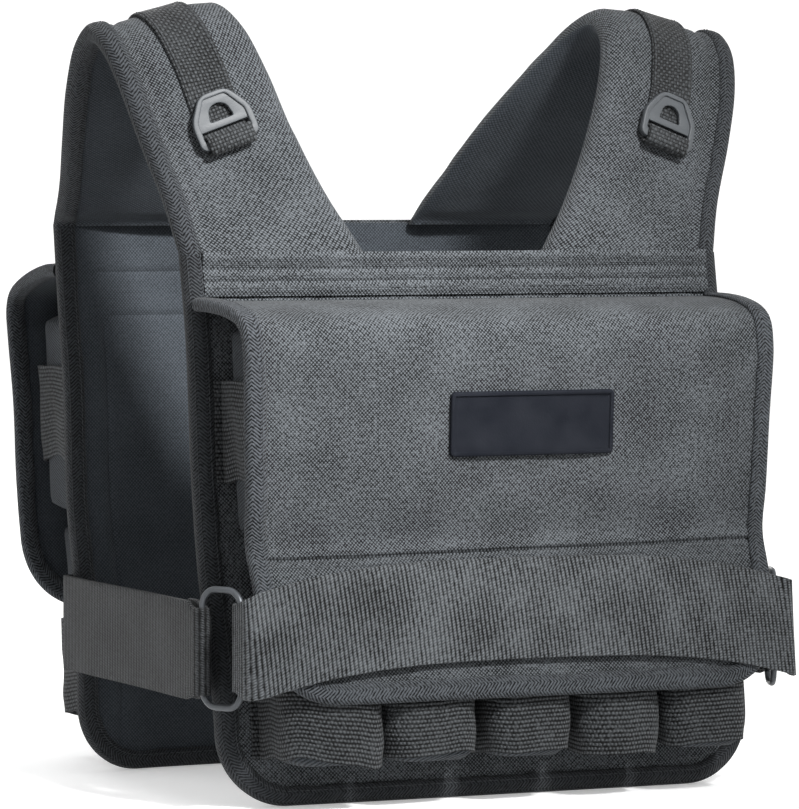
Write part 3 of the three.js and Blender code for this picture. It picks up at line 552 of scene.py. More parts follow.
def slab(name, outer, inner, u, v, materials, lined=False):
    """A closed sheet between an outer and an inner grid of points."""
    rows, cols = outer.shape[:2]
    u, v = np.broadcast_to(u, (rows, cols)), np.broadcast_to(v, (rows, cols))
    r, c = np.meshgrid(np.arange(rows - 1), np.arange(cols - 1), indexing="ij")
    r, c = r.ravel(), c.ravel()
    a = r * cols + c
    top = np.stack([a, a + 1, a + cols + 1, a + cols], 1)
    under = top[:, ::-1] + rows * cols
    edge = np.concatenate(
        [
            np.arange(cols),
            np.arange(2, rows + 1) * cols - 1,
            np.arange(rows * cols - 2, (rows - 1) * cols - 1, -1),
            np.arange((rows - 2) * cols, 0, -cols),
        ]
    )
    after = np.roll(edge, -1)
    rim = np.stack([edge, edge + rows * cols, after + rows * cols, after], 1)
    quads = np.concatenate([top, under, rim])
    flat = np.stack([u.ravel(), v.ravel()], 1)
    corners = np.concatenate([flat, flat])[quads].reshape(-1, 2)
    slots = np.repeat([0, int(lined), 0], [len(top), len(under), len(rim)])
    points = np.concatenate([outer.reshape(-1, 3), inner.reshape(-1, 3)])
    return finish_mesh(name, points, quads.tolist(), corners, materials, slots=slots.tolist())


def mirrored(piece, name):
    """A copy of a finished piece on the wearer's other side."""
    other = add_object(name, piece.data.copy())
    work = bmesh.new()
    work.from_mesh(other.data)
    bmesh.ops.scale(work, vec=(-1, 1, 1), verts=work.verts)
    bmesh.ops.reverse_faces(work, faces=work.faces)
    work.to_mesh(other.data)
    work.free()
    return other


def fit(piece, slot, *nodes):
    """Gives a finished piece its place in the model."""
    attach(piece, "root")
    if nodes:
        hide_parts(*nodes)
    return piece


def fit_pair(left, slot, node, name):
    """Gives a piece of the wearer's left side and its mirror image their places."""
    right = mirrored(left, f"right_{name}")
    return [fit(left, slot, f"left_{node}"), fit(right, slot, f"right_{node}")]


# Where things lie


def place(x, y, z):
    """Points from depth measured about the vest's middle to the model's frame."""
    x, y, z = np.broadcast_arrays(x, y, z)
    return np.stack([x, y + MIDDLE_Y, z], -1).astype(float)


def panel_half(side, z):
    """Half a panel's width at a height."""
    return mix(PANEL_WIDTH_FOOT, PANEL_WIDTH_TOP, np.asarray(z) / side["height"]) / 2


def panel_out(side, z):
    """How far a panel's middle layer stands out at a height."""
    return side["foot"] + side["lean"] * read(side["profile"], np.asarray(z) / side["height"])


def bow_out(side, x):
    """How much further it stands out at a distance from the vest's middle."""
    share = np.minimum(np.abs(x) / (PANEL_WIDTH_TOP / 2), 1)
    return side["bow"] * (1 - share**BOW_POWER)


def on_panel(side, x, z, b):
    """Points at x and height z, a distance b outside a panel's middle layer."""
    return place(x, side["facing"] * (panel_out(side, z) + bow_out(side, x) + b), z)


class FlapRoute:
    """A flap's line in side view, from the yoke over the pack and down to its hem."""

    def __init__(self, side):
        seat = PANEL_THICKNESS / 2 + BINDING_WALL + 3 * CLEARANCE
        pack = side["bar_depth"] + LOOP_THICKNESS + FLAP_THICKNESS / 2 + CLEARANCE
        top = side["height"] - YOKE_HEIGHT - 2 * CLEARANCE - BINDING_WALL - FLAP_THICKNESS / 2
        reach, drop = np.array(side["flap"], float).T
        z = mix(top, side["hem"], drop)
        points = np.stack([panel_out(side, z) + seat + reach * pack, z], 1)
        self.side = side
        self.line = self.through(points)
        self.along = lengths(self.line)
        self.length = self.along[-1]
        self.tangent = unit(np.gradient(self.line, axis=0))

    @staticmethod
    def through(points, steps=24):
        """A uniform Catmull-Rom curve through points."""
        padded = np.concatenate([points[:1], points, points[-1:]])
        t = np.linspace(0, 1, steps, endpoint=False)[:, None]
        spans = []
        for p0, p1, p2, p3 in zip(padded, padded[1:], padded[2:], padded[3:]):
            a, b = (p2 - p0) / 2, (p3 - p1) / 2
            spans.append(span(p1, p2, a, b, t))
        return np.concatenate([*spans, points[-1:]])

    def at(self, v):
        """Out, height and direction at a distance down the route."""
        v = np.clip(v, 0, self.length)
        return [np.interp(v, self.along, row) for row in (*self.line.T, *self.tangent.T)]

    def point(self, u, v, b):
        """Points u across, v down the route and b outside its middle layer."""
        out, z, along_out, along_z = self.at(v)
        y = out - along_z * b + bow_out(self.side, u)
        return place(u, self.side["facing"] * y, z + along_out * b)

    def down(self, z):
        """The distance down the route at which its face reaches a height."""
        low = len(self.line) // 3
        return np.interp(-np.asarray(z, float), -self.line[low:, 1], self.along[low:])

    def face(self, z):
        """How far the cover stands out at a height."""
        return np.interp(self.down(z), self.along, self.line[:, 0])


ROUTES = {side["name"]: FlapRoute(side) for side in (FRONT, BACK)}


def flap_half(side, v):
    """Half a flap's width at a distance down its route."""
    straight = ROUTES[side["name"]].length - FLAP_STRAIGHT
    share = np.minimum(np.asarray(v, float) / straight, 1)
    return mix(FLAP_WIDTH_TOP, FLAP_WIDTH_HEM, share) / 2


def tongue_rows(length, half_at, corner, inset, straight, close=()):
    """Distances down a tongue and half its width there, with round lower corners. Rows at the
    distances in close are added."""
    start = length - corner
    v = np.union1d(np.linspace(0, start, straight), close)
    angle = np.linspace(0, math.pi / 2, CORNER_ROWS)[1:]
    rows = np.concatenate([v, start + (corner - inset) * np.sin(angle)])
    wide = np.concatenate(
        [half_at(v) - inset, half_at(start) - corner + (corner - inset) * np.cos(angle)]
    )
    return rows, wide


def tongue_edge(length, half_at, corner):
    """The line round a tongue's edge, and the way in from it: rows of u, v, in u, in v."""
    start = length - corner
    down = np.linspace(0, start, int(start / EDGE_STEP))
    side = np.stack([-half_at(down), down, np.ones_like(down), np.zeros_like(down)], 1)
    angle = np.linspace(0, math.pi / 2, int(corner * QUARTER_TURN / EDGE_STEP))[1:]
    turn = np.stack(
        [
            -(half_at(start) - corner) - corner * np.cos(angle),
            start + corner * np.sin(angle),
            np.cos(angle),
            -np.sin(angle),
        ],
        1,
    )
    wide = half_at(start) - corner
    foot = np.linspace(-wide, 0, int(wide / EDGE_STEP))[1:]
    flat = np.stack(
        [foot, np.full_like(foot, length), np.zeros_like(foot), np.full_like(foot, -1)], 1
    )
    half = np.concatenate([side, turn, flat])
    other = (half * [-1, 1, -1, 1])[::-1][1:]
    return np.concatenate([half, other])


def strap_rails():
    """Both edges and the middle of the wearer's left strap, front to back, on smooth curves."""

    def stop(row, side):
        rise, run, inner, outer, tilt = row
        start_y = side["facing"] * float(panel_out(side, side["height"]))
        y = mix(start_y, -STRAP_CREST_DEPTH, run)
        z = mix(side["height"] + CLEARANCE, STRAP_CREST, rise)
        lift = STRAP_TILT * tilt
        return (
            (mix(side["neck"], STRAP_CREST_INNER, inner), y, z + lift),
            (mix(PANEL_WIDTH_TOP / 2, STRAP_CREST_OUTER, outer), y, z - lift),
        )

    stops = [stop(row, FRONT) for row in (*FRONT_STRAP, STRAP_TOP)]
    stops += [stop(row, BACK) for row in BACK_STRAP]
    inner, outer = (np.array([s[k] for s in stops], float) for k in (0, 1))
    return [centripetal(points) for points in (inner, outer, (inner + outer) / 2)]


def centripetal(points, steps=16):
    """A centripetal Catmull-Rom curve, with the same number of points in each span."""
    ends = [2 * points[0] - points[1], 2 * points[-1] - points[-2]]
    padded = np.concatenate([ends[:1], points, ends[1:]])
    t = np.linspace(0, 1, steps, endpoint=False)[:, None]
    spans = []
    for p0, p1, p2, p3 in zip(padded, padded[1:], padded[2:], padded[3:]):
        d0, d1, d2 = (math.sqrt(np.linalg.norm(b - a)) for a, b in ((p0, p1), (p1, p2), (p2, p3)))
        a = ((p1 - p0) / d0 - (p2 - p0) / (d0 + d1) + (p2 - p1) / d1) * d1
        b = ((p2 - p1) / d1 - (p3 - p1) / (d1 + d2) + (p3 - p2) / d2) * d1
        spans.append(span(p1, p2, a, b, t))
    return np.concatenate([*spans, points[-1:]])


class Strap:
    """The wearer's left shoulder strap: places on it, by distance from its front end."""

    def __init__(self):
        inner, outer, middle = strap_rails()
        t = np.linspace(0, 1, len(middle))[:, None]
        upright = np.where(t < 0.5, 1.0, -1.0) * np.array([[0, 0, 1]])
        blend = smoothstep(np.minimum(t, 1 - t), 0, STRAP_UPRIGHT)
        along = mix(upright, unit(np.gradient(middle, axis=0)), blend)
        distance = lengths(middle)
        lapped = lambda rows: np.concatenate([rows[:1], rows, rows[-1:]])
        self.inner = lapped(inner)
        self.inner[0] -= STRAP_LAP * along[0]
        self.inner[-1] += STRAP_LAP * along[-1]
        self.width = lapped(np.linalg.norm(outer - inner, axis=1))
        self.way = lapped(unit(outer - inner))
        self.out = lapped(unit(np.cross(unit(outer - inner), along)))
        self.distance = np.r_[-STRAP_LAP, distance, distance[-1] + STRAP_LAP]
        self.length = distance[-1]

    def at(self, rows, d):
        """Rows kept along the strap, read at distances d."""
        if rows.ndim == 1:
            return np.interp(d, self.distance, rows)
        return np.stack([np.interp(d, self.distance, rows[:, k]) for k in range(3)], -1)

    def point(self, d, across, b):
        """Points at a distance d, across from the inner edge and b out of the middle layer."""
        d, across, b = np.broadcast_arrays(d, across, b)
        way, out = self.at(self.way, d), self.at(self.out, d)
        point = self.at(self.inner, d) + way * across[..., None] + out * b[..., None]
        return place(point[..., 0], point[..., 1], point[..., 2])

    def over(self, d, w, b):
        """Points over the pad's upper face, w from the webbing's middle and b above the cloth."""
        width = self.at(self.width, np.asarray(d, float))
        across = WEB_SHARE * width + w
        return self.point(d, across, STRAP_PAD * read(STRAP_UPPER, across / width) + b)

    def ring(self):
        """The flat place of the D-ring: a function of d, w and b, level with the strap there."""
        middle = RING_RISE + RING_HEIGHT / 2
        origin = self.over(middle, 0, 0)
        along = unit(self.over(RING_RISE + RING_HEIGHT, 0, 0) - self.over(RING_RISE, 0, 0))
        across = self.over(middle, RING_WIDTH / 2, 0) - self.over(middle, -RING_WIDTH / 2, 0)
        across = unit(across - along * across.dot(along))
        out = np.cross(across, along)

        def at(d, w, b):
            d, w, b = np.broadcast_arrays(d, w, b)
            return origin + (d - middle)[..., None] * along + w[..., None] * across + b[..., None] * out

        return at


STRAP = Strap()


# Shader maths


class Value:
    """A number in a shader: arithmetic on it adds Math nodes."""

    def __init__(self, shader, socket):
        self.shader = shader
        self.socket = socket

    def maths(self, operation, *others):
        return self.shader.maths(operation, self, *others)

    def __add__(self, other):
        return self.maths("ADD", other)

    def __sub__(self, other):
        return self.maths("SUBTRACT", other)

    def __mul__(self, other):
        return self.maths("MULTIPLY", other)

    def __truediv__(self, other):
        return self.maths("DIVIDE", other)

    def __rsub__(self, other):
        return self.shader.maths("SUBTRACT", other, self)

    def __mod__(self, other):
        return self.maths("FLOORED_MODULO", other)

    def __pow__(self, other):
        return self.maths("POWER", other)

    __radd__ = __add__

    def wave(self, pitch):
        """A wave of that pitch, from 0 to 1."""
        return (self * (TURN / pitch)).maths("SINE") * 0.5 + 0.5

    def clamped(self):
        return self.maths("MAXIMUM", 0.0).maths("MINIMUM", 1.0)


class Shader:
    """A material's node tree, built from expressions."""

    def __init__(self, name):
        self.material = bpy.data.materials.new(name)
        self.material.use_nodes = True
        self.tree = self.material.node_tree
        self.surface = self.tree.nodes["Principled BSDF"]

    def node(self, kind, settings=None, **inputs):
        """Adds a node: its settings first, then the values or links of its sockets."""
        made = self.tree.nodes.new(kind)
        for key, value in (settings or {}).items():
            setattr(made, key, value)
        for key, value in inputs.items():
            self.feed(made.inputs[key], value)
        return made

    def feed(self, socket, value):
        if isinstance(value, Value):
            value = value.socket
        if isinstance(value, bpy.types.NodeSocket):
            self.tree.links.new(value, socket)
        else:
            socket.default_value = value

    def maths(self, operation, *values):
        made = self.tree.nodes.new("ShaderNodeMath")
        made.operation = operation
        for socket, value in zip(made.inputs, values):
            self.feed(socket, value)
        return Value(self, made.outputs[0])

    def surface_place(self):
        """The place on the cloth in millimetres: across it and along it."""
        uv = self.node("ShaderNodeUVMap", {"uv_map": "surface"}).outputs[0]
        split = self.node("ShaderNodeSeparateXYZ", Vector=uv)
        return uv, Value(self, split.outputs[0]), Value(self, split.outputs[1])

    def noise(self, where, scale, detail):
        made = self.node("ShaderNodeTexNoise", Vector=where, Scale=scale, Detail=detail)
        return Value(self, made.outputs[0])

    def blend(self, share, low, high):
        """A colour between two colours."""
        made = self.node("ShaderNodeMix", {"data_type": "RGBA"})
        self.feed(made.inputs[0], share)
        for socket, colour in zip((made.inputs[6], made.inputs[7]), (low, high)):
            self.feed(socket, (*colour, 1.0))
        return made.outputs[2]

    def bump(self, height, distance):
        made = self.node("ShaderNodeBump", Height=height, Distance=distance, Strength=1.0)
        self.feed(self.surface.inputs["Normal"], made.outputs[0])

    def colour(self, value):
        self.feed(self.surface.inputs["Base Color"], value)

    def roughness(self, value):
        self.feed(self.surface.inputs["Roughness"], value.clamped())

    def constant(self, **inputs):
        for key, value in inputs.items():
            self.surface.inputs[key.replace("_", " ")].default_value = value


def weave(u, v, pitch):
    """Small yarn floats in rows that cross on both diagonals."""
    return ((u + v).wave(pitch) * (u - v).wave(pitch)) ** 0.6 * 1.25


def herringbone(u, v, pitch):
    """Slanting ribs that turn back every few yarns."""
    band = pitch * 2.2
    fold = (u % (band * 2) - band).maths("ABSOLUTE")
    return (v + fold * 0.9).wave(pitch)


def twill(u, v, pitch):
    """Slanting ribs with a small crossing yarn."""
    return (v + u * 0.45).wave(pitch) * 0.8 + (u - v * 0.3).wave(pitch * 0.7) * 0.2


def hump(x, pitch):
    """A sine wave that crosses zero at every pitch."""
    return (x * (math.pi / pitch)).maths("SINE")


def basket(u, v, pitch):
    """Square blocks of yarn that stand by turns, like a basket's."""
    block = (hump(u, pitch) * hump(v, pitch)).maths("ABSOLUTE")
    turn = ((u / pitch).maths("FLOOR") + (v / pitch).maths("FLOOR")) % 2.0
    return (block**0.5) * (turn * 0.55 + 0.45)


def ribs(u, v, pitch):
    """Ribs across a belt, each a line of small slanting yarns."""
    rib = hump(v, pitch).maths("ABSOLUTE") ** 1.5
    column = (v / pitch).maths("FLOOR") % 2.0
    dash = (u + v * 0.5 + column * (pitch * 0.3)).wave(pitch * 0.6)
    return rib * (dash * 0.6 + 0.4)


def rows(u, v, pitch):
    """Lines of short bright yarns along a strip, every other line half a yarn further on."""
    row = (u / pitch).maths("FLOOR") % 2.0
    dash = (v + row * (pitch * 0.45)).wave(pitch * 0.9)
    line = hump(u, pitch).maths("ABSOLUTE") ** 2.0
    return line * (dash * 0.75 + 0.25) * 1.3


WEAVES = {pattern.__name__: pattern for pattern in (weave, herringbone, twill, basket, ribs, rows)}

# Cloth: size of the specks and clouds, how strongly each shows, how far roughness swings with the yarns,
# and its sheen
SPECK_SCALE = 1.1
SPECK_STRENGTH = 2.0
CLOUD_SCALE = 0.035
CLOUD_STRENGTH = 0.9
YARN_STRENGTH = 1.1
ROUGH_SWING = 0.12
SPECK_HEIGHT = 0.5
SHEEN = {"Sheen_Weight": 0.05, "Sheen_Roughness": 0.45, "Specular_IOR_Level": 0.14}
# Moulded skin: size and height of its grain, size of its worn places, the worn colour, and the swing of
# its roughness
GRAIN_SCALE = 900.0
GRAIN_HEIGHT = 0.1
WORN_SCALE = 60.0
WORN_SHARE = 0.35
WORN_GAIN = 1.5
WORN_LIFT = 0.01
SKIN_SWING = 0.16


def woven(name, pattern, pitch, dark, light, depth, rough, speckle):
    """Cloth or webbing of some pattern, its yarns between two colours."""
    shader = Shader(name)
    uv, u, v = shader.surface_place()
    yarn = WEAVES[pattern](u, v, pitch)
    speck = shader.noise(uv, SPECK_SCALE / pitch, 2.0)
    cloud = shader.noise(uv, CLOUD_SCALE, 3.0)
    spread = (speck - 0.5) * (speckle * SPECK_STRENGTH) + (cloud - 0.5) * CLOUD_STRENGTH
    shader.colour(shader.blend((yarn * YARN_STRENGTH + spread).clamped(), dark, light))
    shader.roughness(rough + ROUGH_SWING / 2 - yarn * ROUGH_SWING)
    shader.bump(yarn + speck * SPECK_HEIGHT, depth * MM)
    shader.constant(**SHEEN)
    return shader.material


def moulded(name, colour, rough, metallic, grain, gloss):
    """Plastic, rubber or coated metal with a fine uneven skin."""
    shader = Shader(name)
    where = shader.node("ShaderNodeTexCoord").outputs["Object"]
    fine = shader.noise(where, GRAIN_SCALE, 3.0)
    worn = shader.noise(where, WORN_SCALE, 3.0)
    pale = tuple(min(channel * WORN_GAIN + WORN_LIFT, 1.0) for channel in colour)
    shader.colour(shader.blend((worn - WORN_SHARE).clamped(), colour, pale))
    shader.roughness(rough - SKIN_SWING / 2 + worn * SKIN_SWING)
    shader.bump(fine, GRAIN_HEIGHT * grain * MM)
    shader.constant(Metallic=metallic, Specular_IOR_Level=gloss)
    return shader.material


# Woven finishes: pattern, its pitch in yarns, whose colour and share of it, the hollows' share of that
# colour, depth of the yarns in millimetres, roughness, and how speckled the yarns are. The share paints in
# light and shade: the same binding and webbing are painted lighter on the flap's tape and the belt and
# darker on the panel's tape, the side straps and the loops, for how brightly each is lit
WOVEN = {
    "cloth": ("weave", 1.0, "cloth", 1.1, 0.05, 0.25, 0.86, 1.0),
    "lining": ("weave", 1.0, "lining", 0.8, 0.35, 0.12, 0.9, 0.6),
    "tape": ("herringbone", 0.95, "binding", 1.5, 0.06, 0.35, 0.84, 1.3),
    "strap_tape": ("herringbone", 0.95, "binding", 1.05, 0.06, 0.35, 0.84, 1.3),
    "panel_tape": ("herringbone", 0.95, "binding", 0.75, 0.12, 0.3, 0.86, 1.1),
    "bar_cloth": ("twill", 0.85, "bar", 1.0, 0.15, 0.35, 0.84, 0.6),
    "shoulder_webbing": ("basket", 0.95, "webbing", 0.5, 0.03, 0.7, 0.62, 0.6),
    "belt_webbing": ("ribs", 1.2, "webbing", 1.4, 0.01, 1.0, 0.66, 0.6),
    "side_webbing": ("ribs", 1.2, "webbing", 0.46, 0.05, 0.5, 0.66, 0.6),
    "loop_webbing": ("rows", 1.1, "webbing", 0.76, 0.03, 0.7, 0.66, 0.8),
}
# Moulded finishes: whose colour and share of it, roughness, metal, how grainy and how glossy
MOULDED = {
    "thread": ("cloth", 0.5, 0.75, 0.0, 0.3, 0.2),
    "plastic": ("plastic", 1.0, 0.5, 0.0, 0.4, 0.3),
    "wire": ("wire", 1.0, 0.4, 0.4, 0.3, 0.4),
    "patch": ("patch", 1.0, 0.75, 0.0, 1.0, 0.05),
}


# What a user can change


class VestLooks(bpy.types.PropertyGroup):
    """Colours, weaves and the fullness of the cloth."""

    def colour(name, value):
        about = f"{name} where it is lightest"
        return FloatVectorProperty(
            name=name, description=about, default=value, size=3, subtype="COLOR", min=0, max=1
        )

    def number(name, about, value, low, high):
        return FloatProperty(name=name, description=about, default=value, min=low, max=high)

    def length(name, about, value):
        return FloatProperty(name=name, description=about, default=value, unit="LENGTH")

    cloth_colour: colour("Cloth colour", (0.077, 0.084, 0.091))
    lining_colour: colour("Lining colour", (0.056, 0.065, 0.076))
    binding_colour: colour("Binding colour", (0.040, 0.044, 0.049))
    webbing_colour: colour("Webbing colour", (0.084, 0.091, 0.097))
    bar_colour: colour("Bar cloth colour", (0.040, 0.046, 0.053))
    plastic_colour: colour("Plastic colour", (0.040, 0.044, 0.048))
    wire_colour: colour("Wire colour", (0.055, 0.060, 0.066))
    patch_colour: colour("Patch colour", (0.006, 0.007, 0.010))
    yarn_pitch: number("Yarn pitch", "Spacing of the cloth's yarns in millimetres", 1.9, 0.8, 4)
    stitch_length: length("Stitch length", "Distance from stitch to stitch", 0.0032)
    stitch_size: length("Thread width", "Width of the sewing thread", 0.0005)
    ripple_depth: number("Ripples", "How far the cloth's ripples stand out in millimetres", 1.3, 0, 4)
    seed: IntProperty(name="Seed", description="Picks the ripples", default=7, min=0)


def looks():
    return bpy.context.scene.vest_looks


def shaded(colour, share):
    """A colour of the same hue, darker or lighter by a share. With the shares of WOVEN it paints in light
    and shade.
    """
    return tuple(channel * share for channel in colour)


def material(name):
    """The finish of that name, made on its first use."""
    title = f"vest {name}"
    if title in bpy.data.materials:
        return bpy.data.materials[title]
    p = looks()
    if name in WOVEN:
        pattern, pitch, source, share, dark, depth, rough, speckle = WOVEN[name]
        # The share paints in light and shade: lighter or darker copies of one colour for how brightly a
        # piece is lit
        colour = shaded(getattr(p, f"{source}_colour"), share)
        pitch *= p.yarn_pitch
        return woven(title, pattern, pitch, shaded(colour, dark), colour, depth, rough, speckle)
    source, share, *finish = MOULDED[name]
    return moulded(title, shaded(getattr(p, f"{source}_colour"), share), *finish)


# Panels


def binding_rings(edge, thickness, surface, seed):
    """Rings of a channel folded round an edge, slightly puckered along its inner lines."""
    along = lengths(edge[:, :2])
    pucker = 1 + sum(height * ripple(along, start, size, seed) for height, size, start in TAPE_PUCKERS)
    inner = thickness / 2 + CLEARANCE * TAPE_SLACK
    outer = thickness / 2 + CLEARANCE + BINDING_WALL
    fold = (arc(0, 0, 1, math.pi / 2, 3 * math.pi / 2, 8) + [1, 0]) * [outer * TAPE_FOLD, outer]
    upper = [(BINDING_WIDTH + n, outer + b) for n, b in TAPE_LIP]
    lower = [(n, -b) for n, b in reversed(upper)]
    hollow = [(BINDING_WIDTH, -inner), (BINDING_WALL, -inner), (BINDING_WALL, inner), (BINDING_WIDTH, inner)]
    n, b = np.array([*upper, *fold, *lower, *hollow]).T[:, None, :]
    n = n * np.where(n > TAPE_PUCKER_START, pucker[:, None], 1)
    u = edge[:, 0, None] + edge[:, 2, None] * n
    v = edge[:, 1, None] + edge[:, 3, None] * n
    return surface(u, v, np.broadcast_to(b, n.shape))


def panel_surface(side):
    """A panel as a function of u across it, v down from its top and b outside its middle layer."""
    return lambda u, v, b: on_panel(side, u, side["height"] - v, b)


def panel_edge(side):
    """The line round a panel's edge."""
    return tongue_edge(side["height"], lambda v: panel_half(side, side["height"] - v), PANEL_CORNER)


def flap_surface(side, seed):
    """A flap as a function of u across it, v down its route and b outside its rippled middle layer."""
    return lambda u, v, b: ROUTES[side["name"]].point(u, v, b + flap_ripples(side, u, v, seed))


def flap_edge(side):
    """The line round a flap's edge."""
    return tongue_edge(ROUTES[side["name"]].length, lambda v: flap_half(side, v), FLAP_CORNER)


def make_panel(side, seed):
    """A padded panel: fuller in its middle, with seams sewn through near its top and sides."""
    half_at = lambda v: panel_half(side, side["height"] - v)
    inset = BINDING_WALL + CLEARANCE
    rows, wide = tongue_rows(side["height"], half_at, PANEL_CORNER, inset, PANEL_ROWS)
    u = np.linspace(-1, 1, PANEL_COLUMNS)[None, :] * wide[:, None]
    v = np.broadcast_to(rows[:, None], u.shape)
    edge = np.minimum(half_at(v) - np.abs(u), side["height"] - v)
    full = smoothstep(edge, *(BINDING_WIDTH + n for n in PADDING))
    soft = looks().ripple_depth * full * ripples(u, v, PANEL_RIPPLES, seed)
    below = v - YOKE_HEIGHT
    seams = [groove(below - n, PANEL_SEAM_WIDTH) for n in PANEL_SEAMS]
    aside = groove(np.abs(u) - half_at(v) + PANEL_SIDE_SEAM, PANEL_SEAM_WIDTH)
    seams = np.max([*seams, aside * (below > PANEL_SEAMS[1])], 0)
    thick = PANEL_THICKNESS / 2
    surface = panel_surface(side)
    outer = surface(u, v, thick + CLOTH_FULLNESS * (full - 1 + soft))
    inner = surface(u, v, -thick - LINING_FULLNESS * full + LINING_SEAM * seams * full + soft)
    cloth = [material("cloth"), material("lining")]
    return slab(f"{side['name']}_panel_cloth", outer, inner, u, v, cloth, lined=True)


def make_yoke(side, seed):
    """The band across a panel's top, with a rolled upper edge and two sewn lines."""
    half = float(panel_half(side, side["height"])) - BINDING_WIDTH + YOKE_LAP
    u = np.linspace(-half, half, YOKE_COLUMNS)[None, :]
    v = np.linspace(-YOKE_LAP, YOKE_HEIGHT, YOKE_ROWS)[:, None]
    roll = YOKE_ROLL * groove(v - YOKE_ROLL_MIDDLE, YOKE_ROLL_WIDTH)
    seams = YOKE_SEAM_DEPTH * sum(groove(v - n, YOKE_SEAM_WIDTH) for n in YOKE_SEAMS)
    wave = ripples(u, v, YOKE_RIPPLES, seed)
    fall = YOKE_FALL * smoothstep(v, YOKE_HEIGHT - YOKE_FALL_WIDTH, YOKE_HEIGHT)
    low = PANEL_THICKNESS / 2 + CLEARANCE
    surface = panel_surface(side)
    inner = surface(u, v, low)
    outer = surface(u, v, low + YOKE_THICKNESS + roll - seams + wave - fall)
    return slab(f"{side['name']}_yoke_band", outer, inner, u, v, [material("cloth")])


# Flaps


def flap_ripples(side, u, v, seed):
    """Soft unevenness of a flap's cover over the rows of bars."""
    z = ROUTES[side["name"]].at(v)[1]
    cover = smoothstep(v, *(side["bar_depth"] * share for share in COVER_START))
    edge = smoothstep(flap_half(side, v) - np.abs(u), *COVER_EDGE)
    soft = COVER_LARGE[0] * ripple(u + COVER_SHIFT, v, COVER_LARGE[1], seed)
    soft = soft + COVER_SMALL[0] * ripple(u, v * COVER_STRETCH, COVER_SMALL[1], seed + 1)
    row_gap = BAR_FOOT + BAR_HEIGHT + BAR_ROW_GAP / 2
    waist = WAIST_DEPTH * groove(z - row_gap, WAIST_WIDTH)
    bars = BARS_THROUGH * np.cos(TURN * u / BAR_PITCH)
    return cover * edge * (looks().ripple_depth * soft - waist + bars)


def hem_seam(side, u):
    """How far down a flap's route its hem seam runs, a little lower on one side."""
    return ROUTES[side["name"]].down(HEM_SEAM_HEIGHT + HEM_SLOPE * u)


def make_flap(side, seed):
    """A flap: a shelf over the pack and a cover before it, with a hem seam near its foot."""
    route = ROUTES[side["name"]]
    half_at = lambda v: flap_half(side, v)
    middle = float(hem_seam(side, 0))
    close = np.arange(middle - HEM_ABOVE, middle + HEM_BELOW, HEM_STEP)
    rows, wide = tongue_rows(route.length, half_at, FLAP_CORNER, BINDING_WALL + CLEARANCE, FLAP_ROWS, close)
    u = np.linspace(-1, 1, FLAP_COLUMNS)[None, :] * wide[:, None]
    v = np.broadcast_to(rows[:, None], u.shape)
    soft = flap_ripples(side, u, v, seed)
    below = v - hem_seam(side, u)
    lip = HEM_LIP * smoothstep(below, *HEM_LIP_RISE) * (1 - smoothstep(below, *HEM_LIP_FALL))
    seam = HEM_GROOVE * groove(below - HEM_GROOVE_MIDDLE, HEM_GROOVE_WIDTH)
    fray = HEM_FRAY[0] * ripple(u, v, HEM_FRAY[1], seed + 4) * smoothstep(below, 0, HEM_FRAY_RISE)
    thick = FLAP_THICKNESS / 2
    outer = route.point(u, v, thick + soft - seam + lip + fray)
    inner = route.point(u, v, soft - thick)
    cloth = [material("cloth"), material("lining")]
    return slab(f"{side['name']}_flap_cloth", outer, inner, u, v, cloth, lined=True)


def make_flap_binding(side, seed):
    """Tape round a flap's edge, following the cover's ripples."""
    rings = binding_rings(flap_edge(side), FLAP_THICKNESS, flap_surface(side, seed), seed + 8)
    return tube(f"{side['name']}_flap_tape", rings, [material("tape")])


def rounded_box(width, height, corner, steps):
    """Points round a rectangle with round corners."""
    x, y = width / 2 - corner, height / 2 - corner
    quarters = [(x, y), (-x, y), (-x, -y), (x, -y)]
    turn = math.pi / 2
    return np.concatenate(
        [arc(cx, cy, corner, q * turn, (q + 1) * turn, steps) for q, (cx, cy) in enumerate(quarters)]
    )


def make_patch():
    """A blank rubber patch: a sunken field inside a rounded raised rim."""
    route = ROUTES["front"]
    down = float(route.down(PATCH_RISE))
    low = FLAP_THICKNESS / 2 + CLEARANCE
    high = low + PATCH_THICKNESS
    levels = [(0, low), (0, high - PATCH_EDGE), (PATCH_EDGE, high), (PATCH_RIM - PATCH_SLOPE, high)]
    levels += [(PATCH_RIM + inset, high - PATCH_SINK) for inset in (0, *PATCH_RINGS)]
    rings = []
    for inset, b in levels:
        corner = max(PATCH_CORNER - inset, PATCH_CORNER_LEAST)
        outline = rounded_box(PATCH_WIDTH - 2 * inset, PATCH_HEIGHT - 2 * inset, corner, 5)
        u, v = PATCH_SHIFT + outline[:, 0], down + outline[:, 1]
        rings.append(route.point(u, v, b + flap_ripples(FRONT, u, v, looks().seed)))
    return tube("front_patch_rubber", rings, [material("patch")], sharp=60)


# Weight packs


def columns(row):
    """The middle and width of each bar in a row."""
    shift, share = np.array(COLUMNS[row]).T
    return (np.arange(BAR_COLUMNS) - (BAR_COLUMNS - 1) / 2) * BAR_PITCH + shift, BAR_WIDTH * share


